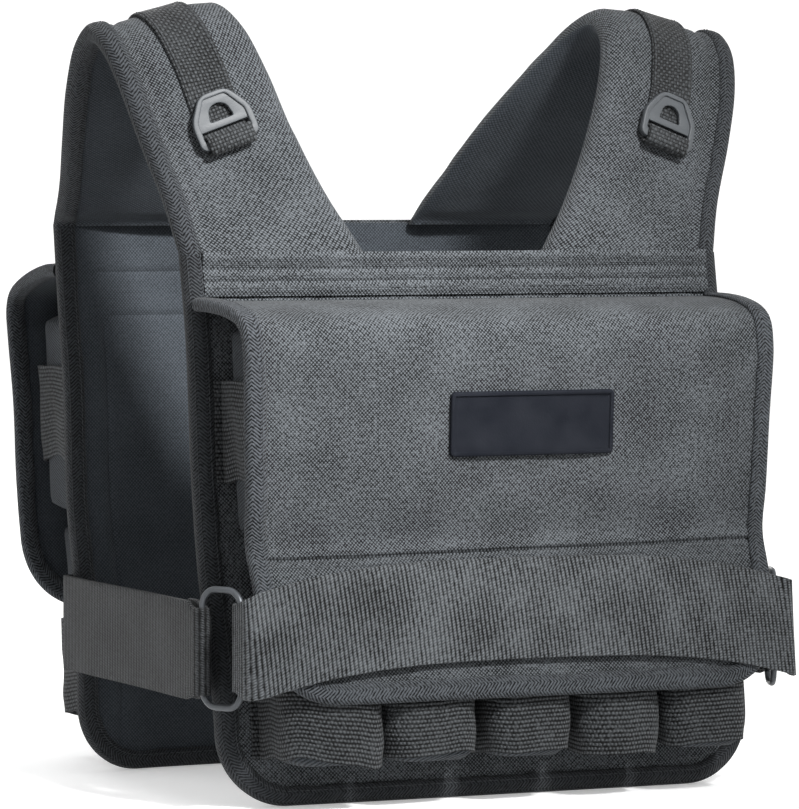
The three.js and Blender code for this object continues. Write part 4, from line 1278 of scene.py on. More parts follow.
def make_bar(side, row, number, foot, seed):
    """A filled cloth sleeve: full in the middle, gathered at both ends."""
    middle, width = (values[number] for values in columns(row))
    depth = side["bar_depth"]
    rise = np.concatenate([BAR_END_RINGS, np.linspace(*BAR_MIDDLE_RINGS), BAR_FAR_RINGS])
    ends = np.minimum(rise, 1 - rise)
    size = 1 - BAR_GATHER * (1 - smoothstep(ends, *BAR_GATHER_RISE)) ** BAR_GATHER_POWER
    angle = np.linspace(0, TURN, BAR_POINTS, endpoint=False)
    x, y = (np.sign(way) * np.abs(way) ** (2 / BAR_SQUARENESS) for way in (np.cos(angle), np.sin(angle)))
    z = foot + rise * BAR_HEIGHT
    soft = sum(
        height * ripple(angle[None, :] * stretch, z[:, None], wide, seed)
        for height, wide, stretch in (BAR_LARGE, BAR_SMALL)
    )
    swell = size[:, None] * (1 + BAR_UNEVEN * (soft - 1))
    out = PANEL_THICKNESS / 2 + CLEARANCE + depth / 2 + y * swell * depth / 2
    rings = on_panel(side, middle + x * swell * width / 2, z[:, None], out)
    return tube(f"{side['name']}_{row}_sleeve_{number + 1}", rings, [material("bar_cloth")], sharp=75)


def loop_line(side, row, seed):
    """A loop strip's line in x and depth: over each bar and down to the panel between them."""
    rng = np.random.default_rng(seed)
    seat = PANEL_THICKNESS / 2 + CLEARANCE + LOOP_THICKNESS / 2
    middles, widths = columns(row)
    halves = widths / 2 + CLEARANCE + LOOP_THICKNESS / 2
    top = seat + CLEARANCE + side["bar_depth"]
    low, radius = top - LOOP_RADIUS, LOOP_RADIUS
    points = [np.array([[middles[0] - halves[0] - LOOP_TAB, seat]])]
    for middle, half in zip(middles, halves):
        slack = rng.uniform(*LOOP_SLACK)
        left, right = middle - half, middle + half
        points.append(np.array([[left, seat]]))
        points.append(arc(left + radius, low, radius, math.pi, math.pi / 2, 8))
        points.append(np.array([[middle, top + LOOP_CROWN + slack]]))
        points.append(arc(right - radius, low, radius, math.pi / 2, 0, 8))
        points.append(np.array([[right, seat]]))
    points.append(np.array([[middles[-1] + halves[-1] + LOOP_TAB, seat]]))
    return even(np.concatenate(points), EDGE_STEP)


def make_loops(side, row, foot, seed):
    """A strip of webbing over a row of bars, slack and a little twisted on each one."""
    line = loop_line(side, row, seed)
    along = lengths(line)[None, :]
    ahead = unit(np.gradient(line, axis=0))
    rise = np.linspace(0, 1, LOOP_ROWS)[:, None]
    out = smoothstep(line[:, 1], PANEL_THICKNESS, PANEL_THICKNESS + LOOP_LEAVES)[None, :]
    sway = out * sum(height * ripple(along, start, size, seed) for height, size, start in LOOP_SWAY)
    z = foot + rise * LOOP_HEIGHT + sway * (LOOP_SWAY_TOP - rise)
    tuck = LOOP_TUCK * smoothstep(LOOP_TUCK_SHARE - rise, 0, LOOP_TUCK_SHARE)
    soft = out * (LOOP_SOFT[0] * ripple(along, z, LOOP_SOFT[1], seed + 1) - tuck)
    grid = []
    for face in (1, -1):
        b = soft + face * LOOP_THICKNESS / 2
        x = line[None, :, 0] - ahead[None, :, 1] * b
        grid.append(on_panel(side, x, z, line[None, :, 1] + ahead[None, :, 0] * b))
    name = f"{side['name']}_{row}_webbing_loops"
    return slab(name, *grid, rise * LOOP_HEIGHT, along, [material("loop_webbing")])


# Straps


def strap_faces(share):
    """Upper and lower face of the pad at shares of its width, with a round inner roll."""
    roll = np.clip(share / STRAP_ROLL, 0, 1)
    bulge = STRAP_PAD * np.sqrt(np.clip(1 - (1 - roll) ** 2, 0, 1))
    upper, lower = (bulge * read(face, np.maximum(share, STRAP_ROLL)) for face in (STRAP_UPPER, STRAP_LOWER))
    return upper + STRAP_PAD * PAD_CROWN, -lower


def strap_rows(count):
    """Distances along the whole strap, its laps behind the yokes too."""
    return np.linspace(-STRAP_LAP, STRAP.length + STRAP_LAP, count)


def make_strap_pad(seed):
    """The padded strap: a thick roll at its neck edge, thin at its bound outer edge."""
    d = strap_rows(PAD_ROWS)[:, None]
    width = STRAP.at(STRAP.width, d[:, 0])[:, None]
    roll = np.linspace(0, 1, PAD_ROLL_POINTS) ** PAD_ROLL_POWER * STRAP_ROLL
    share = np.concatenate([roll, np.linspace(STRAP_ROLL, 1, PAD_POINTS)[1:]])
    across = share[None, :] * (width - BINDING_WALL - CLEARANCE)
    upper, lower = strap_faces(across / width)
    edge = width - across
    channel = PAD_CHANNEL * groove(edge - BINDING_WIDTH - PAD_CHANNEL_IN, PAD_CHANNEL_WIDTH)
    ends = smoothstep(np.minimum(d, STRAP.length - d), 0, PAD_FLAT_END)
    flat = smoothstep(edge, BINDING_WIDTH, BINDING_WIDTH + PAD_FLAT_EDGE)
    soft = PAD_LARGE[0] * ripple(across, d, PAD_LARGE[1], seed)
    soft = soft + PAD_SMALL[0] * ripple(across, d * PAD_STRETCH, PAD_SMALL[1], seed)
    soft = looks().ripple_depth * flat * soft
    top = STRAP.point(d, across, upper + (soft - channel) * ends)
    under = STRAP.point(d, across, lower + PAD_UNDER * soft * ends)
    rings = np.concatenate([top, under[:, ::-1]], 1)
    return tube("left_strap_pad", rings, [material("cloth"), material("lining")], sharp=80, lined=len(share))


def make_strap_tape(seed):
    """Tape folded round the strap's outer edge."""
    d = strap_rows(STRAP_TAPE_ROWS)
    edge = np.stack([np.zeros_like(d), d, np.ones_like(d), np.zeros_like(d)], 1)
    width = STRAP.at(STRAP.width, d)[:, None]
    surface = lambda n, along, b: STRAP.point(along, width - n, b)
    rings = binding_rings(edge, STRAP_EDGE, surface, seed)
    return tube("left_strap_tape", rings, [material("strap_tape")])


def webbing_section(width, thickness, count=14):
    """Points round a flat strip of webbing with thick soft edges."""
    w = np.linspace(-width / 2 + WEB_EDGE, width / 2 - WEB_EDGE, count)
    top = np.stack([w, np.full_like(w, thickness / 2)], 1)
    return np.concatenate([top, [[width / 2, 0]], (top * [1, -1])[::-1], [[-width / 2, 0]]])


def ribbon_rings(route, width, thickness, put):
    """Rings of webbing along a line in distance and height; put gives the place of d, w and b."""
    along = unit(np.gradient(route, axis=0))
    section = webbing_section(width, thickness)
    d = route[:, None, 0] - along[:, None, 1] * section[None, :, 1]
    b = route[:, None, 1] + along[:, None, 0] * section[None, :, 1]
    w = np.broadcast_to(section[None, :, 0], d.shape)
    return put(d, w, b)


def make_shoulder_webbing():
    """Webbing over the strap, folded round the D-ring's foot bar and back into its slot."""
    half = WEB_THICKNESS / 2
    low = CLEARANCE + half
    ring_low = 2 * CLEARANCE + WEB_THICKNESS
    high = ring_low + RING_THICKNESS + CLEARANCE + half
    turn = (high - low) / 2
    foot = RING_RISE + CLEARANCE
    in_slot = RING_RISE + RING_FOOT_BAR + CLEARANCE + half
    route = np.concatenate(
        [
            [[STRAP.length - CLEARANCE, low], [foot, low]],
            arc(foot, low + turn, turn, -math.pi / 2, -3 * math.pi / 2, 14)[1:],
            arc(in_slot - half, high - half, half, math.pi / 2, 0, 4),
            [[in_slot, ring_low + CLEARANCE]],
        ]
    )
    laid, folded = even(route[:2], WEB_STEP), even(route[1:], WEB_FOLD_STEP)
    route = np.concatenate([laid[:-1], folded])
    on_ring = STRAP.ring()

    def put(d, w, b):
        share = smoothstep(d, *(RING_RISE + RING_HEIGHT + reach for reach in WEB_SETTLE))[..., None]
        return mix(on_ring(d, w, b), STRAP.over(d, w, b), share)

    rings = ribbon_rings(route, WEB_WIDTH, WEB_THICKNESS, put)
    return tube("left_strap_webbing", rings, [material("shoulder_webbing")], sharp=75)


def made_mesh(holder):
    """The mesh that an object's curve or modifiers make. The object itself goes."""
    graph = bpy.context.evaluated_depsgraph_get()
    mesh = bpy.data.meshes.new_from_object(holder.evaluated_get(graph))
    bpy.data.objects.remove(holder)
    return mesh


def flat_outline(name, loops, depth, bevel):
    """A mesh of a flat outline with holes, given some depth and rounded edges."""
    curve = bpy.data.curves.new(name, "CURVE")
    curve.dimensions = "2D"
    curve.fill_mode = "BOTH"
    curve.extrude = (depth / 2 - bevel) * MM
    curve.bevel_depth = bevel * MM
    curve.bevel_resolution = 3
    curve.offset = -bevel * MM
    for loop in loops:
        spline = curve.splines.new("POLY")
        spline.points.add(len(loop) - 1)
        flat = np.concatenate([np.asarray(loop) * MM, np.zeros((len(loop), 1)), np.ones((len(loop), 1))], 1)
        spline.points.foreach_set("co", flat.ravel())
        spline.use_cyclic_u = True
    return made_mesh(add_object(name, curve))


def rounded(points, radius, steps=5):
    """A closed outline with its corners rounded, each over less than half of the lines beside it."""
    points = np.asarray(points, float)
    made = []
    for before, corner, after in zip(np.roll(points, 1, 0), points, np.roll(points, -1, 0)):
        reach = min(radius, *(np.linalg.norm(end - corner) / 2.01 for end in (before, after)))
        start, end = (corner + unit(end - corner) * reach for end in (before, after))
        t = np.linspace(0, 1, steps + 1)[:, None]
        made.append((1 - t) ** 2 * start + 2 * t * (1 - t) * corner + t**2 * end)
    return np.concatenate(made)


def ring_outlines():
    """Outlines of the D-ring's plate and of the rim on it, each with its holes."""
    half, foot = RING_WIDTH / 2, RING_FOOT_BAR
    head = [(half, RING_SHOULDER), (RING_TOP / 2, RING_HEIGHT)]
    head += [(-x, y) for x, y in reversed(head)]
    outline = rounded([(-half, 0), (half, 0), *head], RING_CORNER)
    slot_half, slot_top = WEB_WIDTH / 2 + CLEARANCE, foot + RING_SLOT
    slot = [(-slot_half, foot), (-slot_half, slot_top), (slot_half, slot_top), (slot_half, foot)]
    low, hole_half = slot_top + RING_BRIDGE, RING_HOLE_WIDTH / 2
    wide, high, lift = RING_ARCH
    arch = arc(0, 0, 1, math.pi, 0, 10) * [hole_half * wide, RING_HOLE_HEIGHT * high]
    arch = arch + [0, low + RING_HOLE_HEIGHT * lift]
    hole = np.concatenate([[(-hole_half, low)], arch, [(hole_half, low)]])
    across = half * RING_RIM_ACROSS
    inside = [(x * RING_RIM_ACROSS, mix(slot_top + RING_RIM_FOOT, y, RING_RIM_UP)) for x, y in head]
    inside = [(across, slot_top + RING_RIM_FOOT / 2), *inside, (-across, slot_top + RING_RIM_FOOT / 2)]
    plate = [outline, rounded(slot, RING_SLOT_CORNER, 3), rounded(hole, RING_HOLE_CORNER, 3)]
    return plate, [outline, rounded([slot[0], *reversed(inside), slot[3]], RING_RIM_CORNER)]


def make_d_ring():
    """A moulded D-ring: a plate with a slot and a D-shaped hole, and a raised rim round its head."""
    plate_lines, rim_lines = ring_outlines()
    plate = flat_outline("plate", plate_lines, RING_THICKNESS - RING_SINK, RING_PLATE_BEVEL)
    rim = flat_outline("rim", rim_lines, RING_THICKNESS, RING_RIM_BEVEL)
    work = bmesh.new()
    work.from_mesh(plate)
    bmesh.ops.translate(work, verts=work.verts, vec=(0, 0, -RING_SINK / 2 * MM))
    work.from_mesh(rim)
    bmesh.ops.remove_doubles(work, verts=work.verts, dist=1e-6)
    put = STRAP.ring()
    seat = 2 * CLEARANCE + WEB_THICKNESS + RING_THICKNESS / 2
    for vert in work.verts:
        w, d, b = (c / MM for c in vert.co)
        vert.co = Vector(put(RING_RISE + d, w, seat + b) * MM)
    bmesh.ops.recalc_face_normals(work, faces=work.faces)
    mesh = bpy.data.meshes.new("left_moulded_ring")
    work.to_mesh(mesh)
    work.free()
    mesh.materials.clear()
    mesh.materials.append(material("plastic"))
    mesh.polygons.foreach_set("material_index", [0] * len(mesh.polygons))
    smooth(mesh, 40)
    for spare in (plate, rim):
        bpy.data.meshes.remove(spare)
    return add_object("left_moulded_ring", mesh)


# Belt, side straps and wire rings


class WireRingPlace:
    """Where the wire ring on the wearer's left stands, and the belt that it holds."""

    def __init__(self):
        self.route = ROUTES["front"]
        slope = float(self.route.at(self.route.down(BELT_END))[3])
        seat = (FLAP_THICKNESS / 2 + 3 * CLEARANCE + BINDING_WALL + BELT_THICKNESS / 2) / -slope
        self.belt_front = float(self.route.face(BELT_END)) + seat
        aside = FLAP_WIDTH_HEM / 2 + WIRE_RING_GAP + WIRE_DIAMETER / 2
        turn = math.radians(WIRE_RING_TURN)
        self.belt_wire = np.array([aside, WIRE_RING_SETBACK - self.belt_front])
        self.across = np.array([math.sin(turn), math.cos(turn)])
        self.strap_wire = self.belt_wire + WIRE_RING_WIDTH * self.across
        self.wrap = WIRE_DIAMETER / 2 + CLEARANCE + BELT_THICKNESS / 2


WIRE = WireRingPlace()


def standing_rings(stops, shift=lambda rows, z: 0):
    """Rings of belt webbing on edge along stops of x, y and middle height, narrower at the wire. shift
    moves y by stop and z."""
    plan = unit(np.gradient(stops[:, :2], axis=0))
    section = webbing_section(BELT_WIDTH, BELT_THICKNESS, 20)
    away = np.stack([np.abs(stops[:, 0]), stops[:, 1]], 1)
    ends = (WIRE.belt_wire, WIRE.strap_wire)
    near = np.min([np.linalg.norm(away - end, axis=1) for end in ends], 0)
    narrow = mix(FOLD_WIDTH / BELT_WIDTH, 1, smoothstep(near, *FOLD_NARROWS))
    s = section[None, :, 1]
    x = stops[:, None, 0] - plan[:, None, 1] * s
    z = stops[:, None, 2] + section[None, :, 0] * narrow[:, None]
    y = stops[:, None, 1] + plan[:, None, 0] * s + shift(stops, z)
    return place(x, y, z)


def make_belt(seed):
    """The belt over the flap, round both corners and through the wire rings."""
    wire_x, wire_y = WIRE.belt_wire
    outside = wire_x + WIRE.wrap
    x = np.linspace(0, outside - BELT_CORNER, 60)
    front = -(WIRE.belt_front + bow_out(FRONT, x) - bow_out(FRONT, FLAP_WIDTH_HEM / 2))
    flat = np.stack([x, front, np.ones_like(x)], 1)
    turn = arc(outside - BELT_CORNER, BELT_CORNER - WIRE.belt_front, BELT_CORNER, -math.pi / 2, 0, 10)[1:]
    turn = np.column_stack([turn, np.linspace(1, 0, len(turn) + 1)[1:]])
    fold = arc(wire_x, wire_y, WIRE.wrap, 0, math.pi, 16)
    fold = np.column_stack([fold, np.zeros(len(fold))])
    tail = [[wire_x - WIRE.wrap, wire_y - BELT_TUCK, 0]]
    half = even(np.concatenate([flat, turn, fold, tail]), BELT_STEP)
    middle = mix(BELT_MIDDLE, BELT_END, (np.abs(half[:, 0]) / outside) ** BELT_POWER)
    half = np.column_stack([half[:, :2], middle, half[:, 2]])
    other = (half * [-1, 1, 1, 1])[::-1][:-1]
    face_end = float(WIRE.route.face(BELT_END))

    def shift(rows, z):
        x, follow = rows[:, None, 0], rows[:, None, 3]
        depth, size, start = BELT_WAVE
        fade = smoothstep(BELT_WAVE_END - np.abs(x), 0, BELT_WAVE_FADE)
        wave = depth * ripple(x + start, z, size, seed) * fade
        return -follow * (WIRE.route.face(z) - face_end) - np.abs(wave)

    rings = standing_rings(np.concatenate([other, half]), shift)
    return tube("front_belt_webbing", rings, [material("belt_webbing")], sharp=75)


def make_side_strap(seed):
    """The strap from the back panel's edge forward, folded round the wire ring."""
    wire_x, wire_y = WIRE.strap_wire
    edge = float(panel_half(BACK, SIDE_STRAP_MIDDLE))
    over = PANEL_THICKNESS / 2 + 2 * CLEARANCE + BINDING_WALL + BELT_THICKNESS / 2
    corner = CLEARANCE + BELT_THICKNESS / 2 + SIDE_STRAP_BEND
    back_z = SIDE_STRAP_MIDDLE + BELT_WIDTH / 2
    out = lambda x: float(panel_out(BACK, back_z) + bow_out(BACK, x)) + over
    sewn = [[x, out(x)] for x in (edge - SIDE_STRAP_SEWN, edge - SIDE_STRAP_SEWN / 2)]
    turn = arc(edge, out(edge) - corner, corner, math.pi / 2, 0, 8)
    fold = arc(wire_x, wire_y, WIRE.wrap, 0, -math.pi, 16)
    tail = [[wire_x - WIRE.wrap, wire_y + SIDE_STRAP_TUCK]]
    line = even(np.concatenate([sewn, turn, fold, tail]), BELT_STEP)
    along = lengths(line)
    stops = np.column_stack([line, np.full(len(line), SIDE_STRAP_MIDDLE)])
    held = smoothstep(along[-1] - SIDE_STRAP_HELD - along, 0, SIDE_STRAP_FADE)
    free = smoothstep(along, *SIDE_STRAP_FREE) * held
    depth, size, start = SIDE_STRAP_SWAY
    stops[:, 0] += depth * free * ripple(along, start, size, seed)
    return tube("left_side_webbing", standing_rings(stops), [material("side_webbing")], sharp=75)


def make_wire_ring():
    """A round-cornered ring of wire, turned to follow the vest's corner."""
    middle = (WIRE.belt_wire + WIRE.strap_wire) / 2
    line = rounded_box(WIRE_RING_WIDTH, WIRE_RING_HEIGHT, WIRE_RING_CORNER, 10)
    line = even(np.concatenate([line, line[:1]]), WIRE_STEP)[:-1]
    ahead = unit(np.roll(line, -1, 0) - np.roll(line, 1, 0))
    side = np.stack([ahead[:, 1], -ahead[:, 0]], 1)
    angle = np.linspace(0, TURN, WIRE_POINTS, endpoint=False)
    radius = WIRE_DIAMETER / 2
    flat = line[:, None, :] + side[:, None, :] * radius * np.cos(angle)[None, :, None]
    b = radius * np.sin(angle)[None, :]
    x = middle[0] + WIRE.across[0] * flat[..., 0] + WIRE.across[1] * b
    y = middle[1] + WIRE.across[1] * flat[..., 0] - WIRE.across[0] * b
    z = WIRE_RING_MIDDLE + flat[..., 1]
    return tube("left_wire", place(x, y, z), [material("wire")], closed=True)


# Stitches


# The stitch tree's sockets and nodes, and its links: a node and its output, a node and its input
STITCH_INPUTS = {
    "Line": "NodeSocketGeometry",
    "Spacing": "NodeSocketFloat",
    "Thread": "NodeSocketFloat",
    "Length": "NodeSocketFloat",
    "Finish": "NodeSocketMaterial",
}
STITCH_NODES = {
    "start": "NodeGroupInput",
    "end": "NodeGroupOutput",
    "curve": "GeometryNodeMeshToCurve",
    "spaced": "GeometryNodeResampleCurve",
    "thread": "GeometryNodeMeshUVSphere",
    "tangent": "GeometryNodeInputTangent",
    "turn": "FunctionNodeAlignEulerToVector",
    "shape": "ShaderNodeCombineXYZ",
    "lay": "GeometryNodeInstanceOnPoints",
    "real": "GeometryNodeRealizeInstances",
    "finish": "GeometryNodeSetMaterial",
}
STITCH_LINKS = [
    ("start", "Line", "curve", "Mesh"),
    ("curve", "Curve", "spaced", "Curve"),
    ("start", "Spacing", "spaced", "Length"),
    ("tangent", "Tangent", "turn", "Vector"),
    ("start", "Thread", "shape", "X"),
    ("start", "Thread", "shape", "Y"),
    ("start", "Length", "shape", "Z"),
    ("spaced", "Curve", "lay", "Points"),
    ("thread", "Mesh", "lay", "Instance"),
    ("turn", "Rotation", "lay", "Rotation"),
    ("shape", "Vector", "lay", "Scale"),
    ("lay", "Instances", "real", "Geometry"),
    ("real", "Geometry", "finish", "Geometry"),
    ("start", "Finish", "finish", "Material"),
    ("finish", "Geometry", "end", "Stitches"),
]
THREAD_SHAPE = {"Segments": 6, "Rings": 4, "Radius": 0.5}


def stitch_tree():
    """A node tree that lays short threads along a line."""
    name = "stitch line"
    if name in bpy.data.node_groups:
        return bpy.data.node_groups[name]
    tree = bpy.data.node_groups.new(name, "GeometryNodeTree")
    for label, kind in STITCH_INPUTS.items():
        tree.interface.new_socket(label, in_out="INPUT", socket_type=kind)
    tree.interface.new_socket("Stitches", in_out="OUTPUT", socket_type="NodeSocketGeometry")
    made = {key: tree.nodes.new(kind) for key, kind in STITCH_NODES.items()}
    made["spaced"].mode = "LENGTH"
    made["turn"].axis = "Z"
    for label, value in THREAD_SHAPE.items():
        made["thread"].inputs[label].default_value = value
    for source, output, target, socket in STITCH_LINKS:
        tree.links.new(made[source].outputs[output], made[target].inputs[socket])
    return tree


def sew(name, lines, slot):
    """Stitches along lines of points, as one plain mesh."""
    edges, first = [], 0
    for line in lines:
        edges += [(first + i, first + i + 1) for i in range(len(line) - 1)]
        first += len(line)
    mesh = bpy.data.meshes.new(name + "_line")
    mesh.from_pydata((np.concatenate(lines) * MM).tolist(), edges, [])
    holder = add_object(name + "_line", mesh)
    tree = stitch_tree()
    modifier = holder.modifiers.new("stitches", "NODES")
    modifier.node_group = tree
    sockets = {item.name: item.identifier for item in tree.interface.items_tree if item.in_out == "INPUT"}
    p = looks()
    modifier[sockets["Spacing"]] = p.stitch_length
    modifier[sockets["Thread"]] = p.stitch_size
    modifier[sockets["Length"]] = p.stitch_length * STITCH_SHARE
    modifier[sockets["Finish"]] = material("thread")
    made = made_mesh(holder)
    made.name = name
    return fit(add_object(name, made), slot)


def tape_line(edge):
    """Places of a thread along a tape, from the line round its edge."""
    return (edge[:, :2] + edge[:, 2:] * (BINDING_WIDTH - STITCH_IN)).T


def panel_stitches(side):
    """Lines through the panel's tape, the yoke and the flap's tape and hem."""
    panel, flap = panel_surface(side), flap_surface(side, looks().seed)
    high = PANEL_THICKNESS / 2 + CLEARANCE + BINDING_WALL + STITCH_RISE
    lines = [panel(*tape_line(panel_edge(side)), b) for b in (high, -high)]
    half = float(panel_half(side, side["height"])) - BINDING_WIDTH - YOKE_STITCH_END
    across = np.linspace(-half, half, STITCH_POINTS)
    high = PANEL_THICKNESS / 2 + CLEARANCE + YOKE_THICKNESS + YOKE_STITCH_RISE
    lines += [panel(across, v, high) for v in YOKE_STITCHES]
    high = FLAP_THICKNESS / 2 + CLEARANCE + BINDING_WALL + STITCH_RISE
    lines.append(flap(*tape_line(flap_edge(side)), high))
    half = FLAP_WIDTH_HEM / 2 - HEM_STITCH_END
    across = np.linspace(-half, half, STITCH_POINTS)
    high = FLAP_THICKNESS / 2 + LOW_STITCH_RISE
    return lines + [flap(across, hem_seam(side, across) + below, high) for below in HEM_STITCHES]


def strap_stitches():
    """Lines along the strap's tape and its webbing."""
    d = np.linspace(STRAP_STITCH_END, STRAP.length - STRAP_STITCH_END, STRAP_STITCH_POINTS)
    high = STRAP_EDGE / 2 + CLEARANCE + BINDING_WALL + STITCH_RISE
    tape = STRAP.point(d, STRAP.at(STRAP.width, d) - (BINDING_WIDTH - STITCH_IN), high)
    d = np.linspace(RING_RISE + WEB_STITCH_START, STRAP.length - WEB_STITCH_END, WEB_STITCH_POINTS)
    high = CLEARANCE + WEB_THICKNESS + LOW_STITCH_RISE
    return [tape, *(STRAP.over(d, w, high) for w in WEB_STITCHES)]


def mirror_lines(lines):
    """The same lines on the wearer's other side."""
    return [line * [-1, 1, 1] for line in lines]


# Operators


# How far each kind of piece moves the seed, and how far a bar's side moves it
BAR_SIDE_STEP = 35
SEED_STEPS = {
    "panel": 20,
    "panel_tape": 30,
    "yoke": 40,
    "bar": 50,
    "loops": 65,
    "strap_pad": 70,
    "strap_tape": 71,
    "belt": 80,
    "side_strap": 81,
}


def seed_of(kind):
    """The seed that a kind of piece draws with."""
    return looks().seed + SEED_STEPS[kind]


class DressPanels(bpy.types.Operator):
    """Both padded panels with their edge tape and yokes"""

    bl_idname = "vest.panels"
    bl_label = "Panels"

    def execute(self, context):
        for side in (FRONT, BACK):
            name = side["name"]
            panel = fit(make_panel(side, seed_of("panel")), "cloth", f"{name}_panel")
            rings = binding_rings(
                panel_edge(side), PANEL_THICKNESS, panel_surface(side), seed_of("panel_tape")
            )
            tape = tube(f"{name}_panel_tape", rings, [material("panel_tape")])
            fit(tape, "binding", f"{name}_panel_binding")
            fit(make_yoke(side, seed_of("yoke")), "cloth", f"{name}_yoke")
        return {"FINISHED"}


class DressFlaps(bpy.types.Operator):
    """Both flaps with their edge tape, and the front flap's blank patch"""

    bl_idname = "vest.flaps"
    bl_label = "Flaps and patch"

    def execute(self, context):
        seed = looks().seed
        for side in (FRONT, BACK):
            name = side["name"]
            flap = fit(make_flap(side, seed), "cloth", f"{name}_flap")
            fit(make_flap_binding(side, seed), "binding", f"{name}_flap_binding")
        fit(make_patch(), "patch", "front_patch")
        return {"FINISHED"}


class DressPacks(bpy.types.Operator):
    """The weight bars' sleeves and the webbing loops over them"""

    bl_idname = "vest.packs"
    bl_label = "Weight packs"

    ROWS = {
        "lower": (BAR_FOOT, LOWER_LOOP_RISE),
        "upper": (BAR_FOOT + BAR_HEIGHT + BAR_ROW_GAP, UPPER_LOOP_RISE),
    }

    def execute(self, context):
        for side in (FRONT, BACK):
            name = side["name"]
            for row, (foot, rise) in self.ROWS.items():
                first = seed_of("bar") + BAR_SIDE_STEP * side["facing"]
                for number in range(BAR_COLUMNS):
                    bar = make_bar(side, row, number, foot, first + number)
                    fit(bar, "bar_cloth", f"{name}_{row}_bar_{number + 1}")
                loops = make_loops(side, row, foot + rise, seed_of("loops"))
                fit(loops, "webbing", f"{name}_{row}_loops")
        return {"FINISHED"}


class DressStraps(bpy.types.Operator):
    """The shoulder straps with their tape, webbing and D-rings"""

    bl_idname = "vest.straps"
    bl_label = "Shoulder straps"

    def execute(self, context):
        made = [
            (make_strap_pad(seed_of("strap_pad")), "cloth", "shoulder_strap", "strap_pad"),
            (make_strap_tape(seed_of("strap_tape")), "binding", "strap_binding", "strap_tape"),
            (make_shoulder_webbing(), "webbing", "shoulder_webbing", "strap_webbing"),
            (make_d_ring(), "plastic", "d_ring", "moulded_ring"),
        ]
        for left, slot, node, name in made:
            for piece in fit_pair(left, slot, node, name):
                node == "shoulder_strap"
        return {"FINISHED"}


class DressBelt(bpy.types.Operator):
    """The belt, the side straps and the wire rings between them"""

    bl_idname = "vest.belt"
    bl_label = "Belt and rings"

    def execute(self, context):
        fit(make_belt(seed_of("belt")), "webbing", "front_belt")
        made = [
            (make_side_strap(seed_of("side_strap")), "webbing", "side_strap", "side_webbing"),
            (make_wire_ring(), "wire", "wire_ring", "wire"),
        ]
        for left, slot, node, name in made:
            fit_pair(left, slot, node, name)
        return {"FINISHED"}


class SewStitches(bpy.types.Operator):
    """Rows of stitches through the tapes, yokes, hems and webbing"""

    bl_idname = "vest.stitches"
    bl_label = "Stitches"

    def execute(self, context):
        for side in (FRONT, BACK):
            sew(f"{side['name']}_stitches", panel_stitches(side), "cloth")
        lines = strap_stitches()
        sew("left_strap_stitches", lines, "cloth")
        sew("right_strap_stitches", mirror_lines(lines), "cloth")
        return {"FINISHED"}


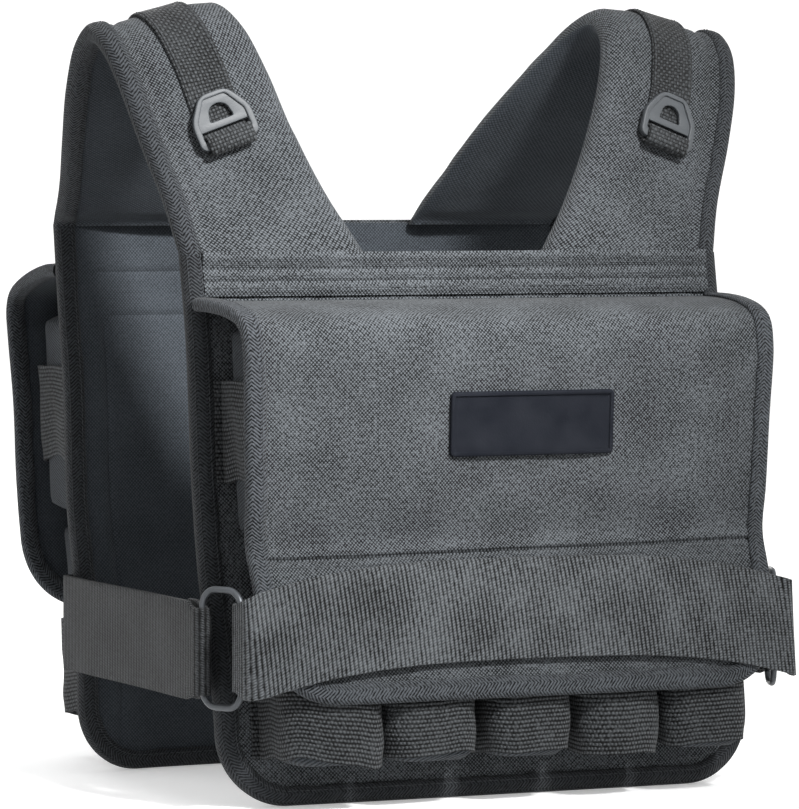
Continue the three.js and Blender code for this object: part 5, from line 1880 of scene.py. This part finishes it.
class SetStage(bpy.types.Operator):
    """A pale floor that curves up behind, soft lights and the camera"""

    bl_idname = "vest.stage"
    bl_label = "Stage"

    FLOOR = 0.95
    FLOOR_GLOW = 0.32
    # The floor in metres: radii of its flat rings, where and how far it bends up, its top, and its turns
    FLOOR_FLAT = (0.4, 1.5, 3.0)
    FLOOR_BEND = 5.0
    FLOOR_RADIUS = 2.0
    FLOOR_TOP = 8.0
    FLOOR_TURNS = 64
    # Area lights: name, place and size in metres, and power. They look at LIGHTS_AIM
    LIGHTS = [
        ("key light", (0.5, -2.4, 1.7), 0.8, 4),
        ("top light", (-0.5, 0.5, 2.6), 1.6, 14),
        ("back light", (0.9, 2.4, 1.3), 1.0, 10),
    ]
    LIGHTS_AIM = (0, 0, 0.2)
    # Spot light: places and size in metres, and angle in degrees
    SPOT = {"at": (0.15, -1.4, 1.25), "aim": (-0.06, -0.1, 0.28), "angle": 21.5, "size": 0.16, "power": 400}
    WORLD = 0.3
    # Camera: angles in degrees, distance and aim about the vest's middle, lens and sensor
    AZIMUTH = 26.0
    PITCH = 2.4
    DISTANCE = 2750
    LENS = 239.9
    SENSOR = 36
    AIM = (-4.5, 0, 190.4)

    def execute(self, context):
        self.set_camera(context)
        self.set_floor()
        self.set_lights()
        self.set_world(context)
        return {"FINISHED"}

    def set_camera(self, context):
        data = bpy.data.cameras.new("camera")
        data.lens = self.LENS
        data.sensor_width = self.SENSOR
        data.clip_end = 50
        camera = add_object("camera", data)
        a, p = math.radians(self.AZIMUTH), math.radians(self.PITCH)
        ahead = Vector((math.sin(a) * math.cos(p), math.cos(a) * math.cos(p), -math.sin(p)))
        aim = Vector((self.AIM[0], self.AIM[1] + MIDDLE_Y, self.AIM[2])) * MM
        camera.location = aim - ahead * (self.DISTANCE * MM)
        camera.rotation_euler = ahead.to_track_quat("-Z", "Y").to_euler()
        context.scene.camera = camera

    def set_floor(self):
        """A floor that turns up into a wall on every side but is one smooth sheet."""
        turns = self.FLOOR_TURNS
        bend = np.linspace(0, math.pi / 2, 12)
        reach = self.FLOOR_BEND + np.sin(bend) * self.FLOOR_RADIUS
        rise = self.FLOOR_RADIUS * (1 - np.cos(bend))
        radii = np.concatenate([self.FLOOR_FLAT, reach, [self.FLOOR_BEND + self.FLOOR_RADIUS]])
        heights = np.concatenate([np.zeros(len(self.FLOOR_FLAT)), rise, [self.FLOOR_TOP]])
        angles = np.linspace(0, TURN, turns, endpoint=False)
        points = [(0, 0, 0)]
        points += [(r * math.cos(t), r * math.sin(t), h) for r, h in zip(radii, heights) for t in angles]
        faces = [(0, 1 + i, 1 + (i + 1) % turns) for i in range(turns)]
        for a in range(1, 1 + turns * (len(radii) - 1), turns):
            b = a + turns
            faces += [(a + i, b + i, b + (i + 1) % turns, a + (i + 1) % turns) for i in range(turns)]
        mesh = bpy.data.meshes.new("floor")
        mesh.from_pydata(points, [], faces)
        mesh.polygons.foreach_set("use_smooth", [True] * len(mesh.polygons))
        shader = Shader("studio floor")
        shader.constant(Base_Color=(self.FLOOR,) * 3 + (1,), Roughness=0.9, Specular_IOR_Level=0.1)
        shader.constant(Emission_Color=(1, 1, 1, 1), Emission_Strength=self.FLOOR_GLOW)
        mesh.materials.append(shader.material)
        add_object("floor", mesh)

    def add_light(self, name, kind, where, aim, power):
        """A light that looks from one place to another. Its data is returned."""
        data = bpy.data.lights.new(name, kind)
        data.energy = power
        light = add_object(name, data)
        light.location = where
        light.rotation_euler = (Vector(aim) - Vector(where)).to_track_quat("-Z", "Y").to_euler()
        return data

    def set_lights(self):
        for name, where, size, power in self.LIGHTS:
            data = self.add_light(name, "AREA", where, self.LIGHTS_AIM, power)
            data.shape = "DISK"
            data.size = size
        spot = self.SPOT
        data = self.add_light("upper light", "SPOT", spot["at"], spot["aim"], spot["power"])
        data.spot_size = math.radians(spot["angle"])
        data.spot_blend = 1.0
        data.shadow_soft_size = spot["size"]

    def set_world(self, context):
        world = bpy.data.worlds.new("studio")
        world.use_nodes = True
        background = world.node_tree.nodes["Background"]
        background.inputs["Color"].default_value = (1, 1, 1, 1)
        background.inputs["Strength"].default_value = self.WORLD
        context.scene.world = world
        context.scene.view_settings.view_transform = "Standard"


class VestPanel(bpy.types.Panel):
    """Steps that dress the vest"""

    bl_idname = "VIEW3D_PT_vest"
    bl_label = "Weighted vest"
    bl_space_type = "VIEW_3D"
    bl_region_type = "UI"
    bl_category = "Vest"

    def draw(self, context):
        for step in STEPS:
            self.layout.operator(step.bl_idname)
        for name in VestLooks.__annotations__:
            self.layout.prop(context.scene.vest_looks, name)


STEPS = (SetStage, DressPanels, DressFlaps, DressPacks, DressStraps, DressBelt, SewStitches)
CLASSES = (VestLooks, *STEPS, VestPanel)


def register():
    for cls in CLASSES:
        bpy.utils.register_class(cls)
    bpy.types.Scene.vest_looks = PointerProperty(type=VestLooks)


def unregister():
    del bpy.types.Scene.vest_looks
    for cls in reversed(CLASSES):
        bpy.utils.unregister_class(cls)


def main():
    register()
    for step in STEPS:
        group, name = step.bl_idname.split(".")
        getattr(getattr(bpy.ops, group), name)()


if __name__ == "__main__":
    main()
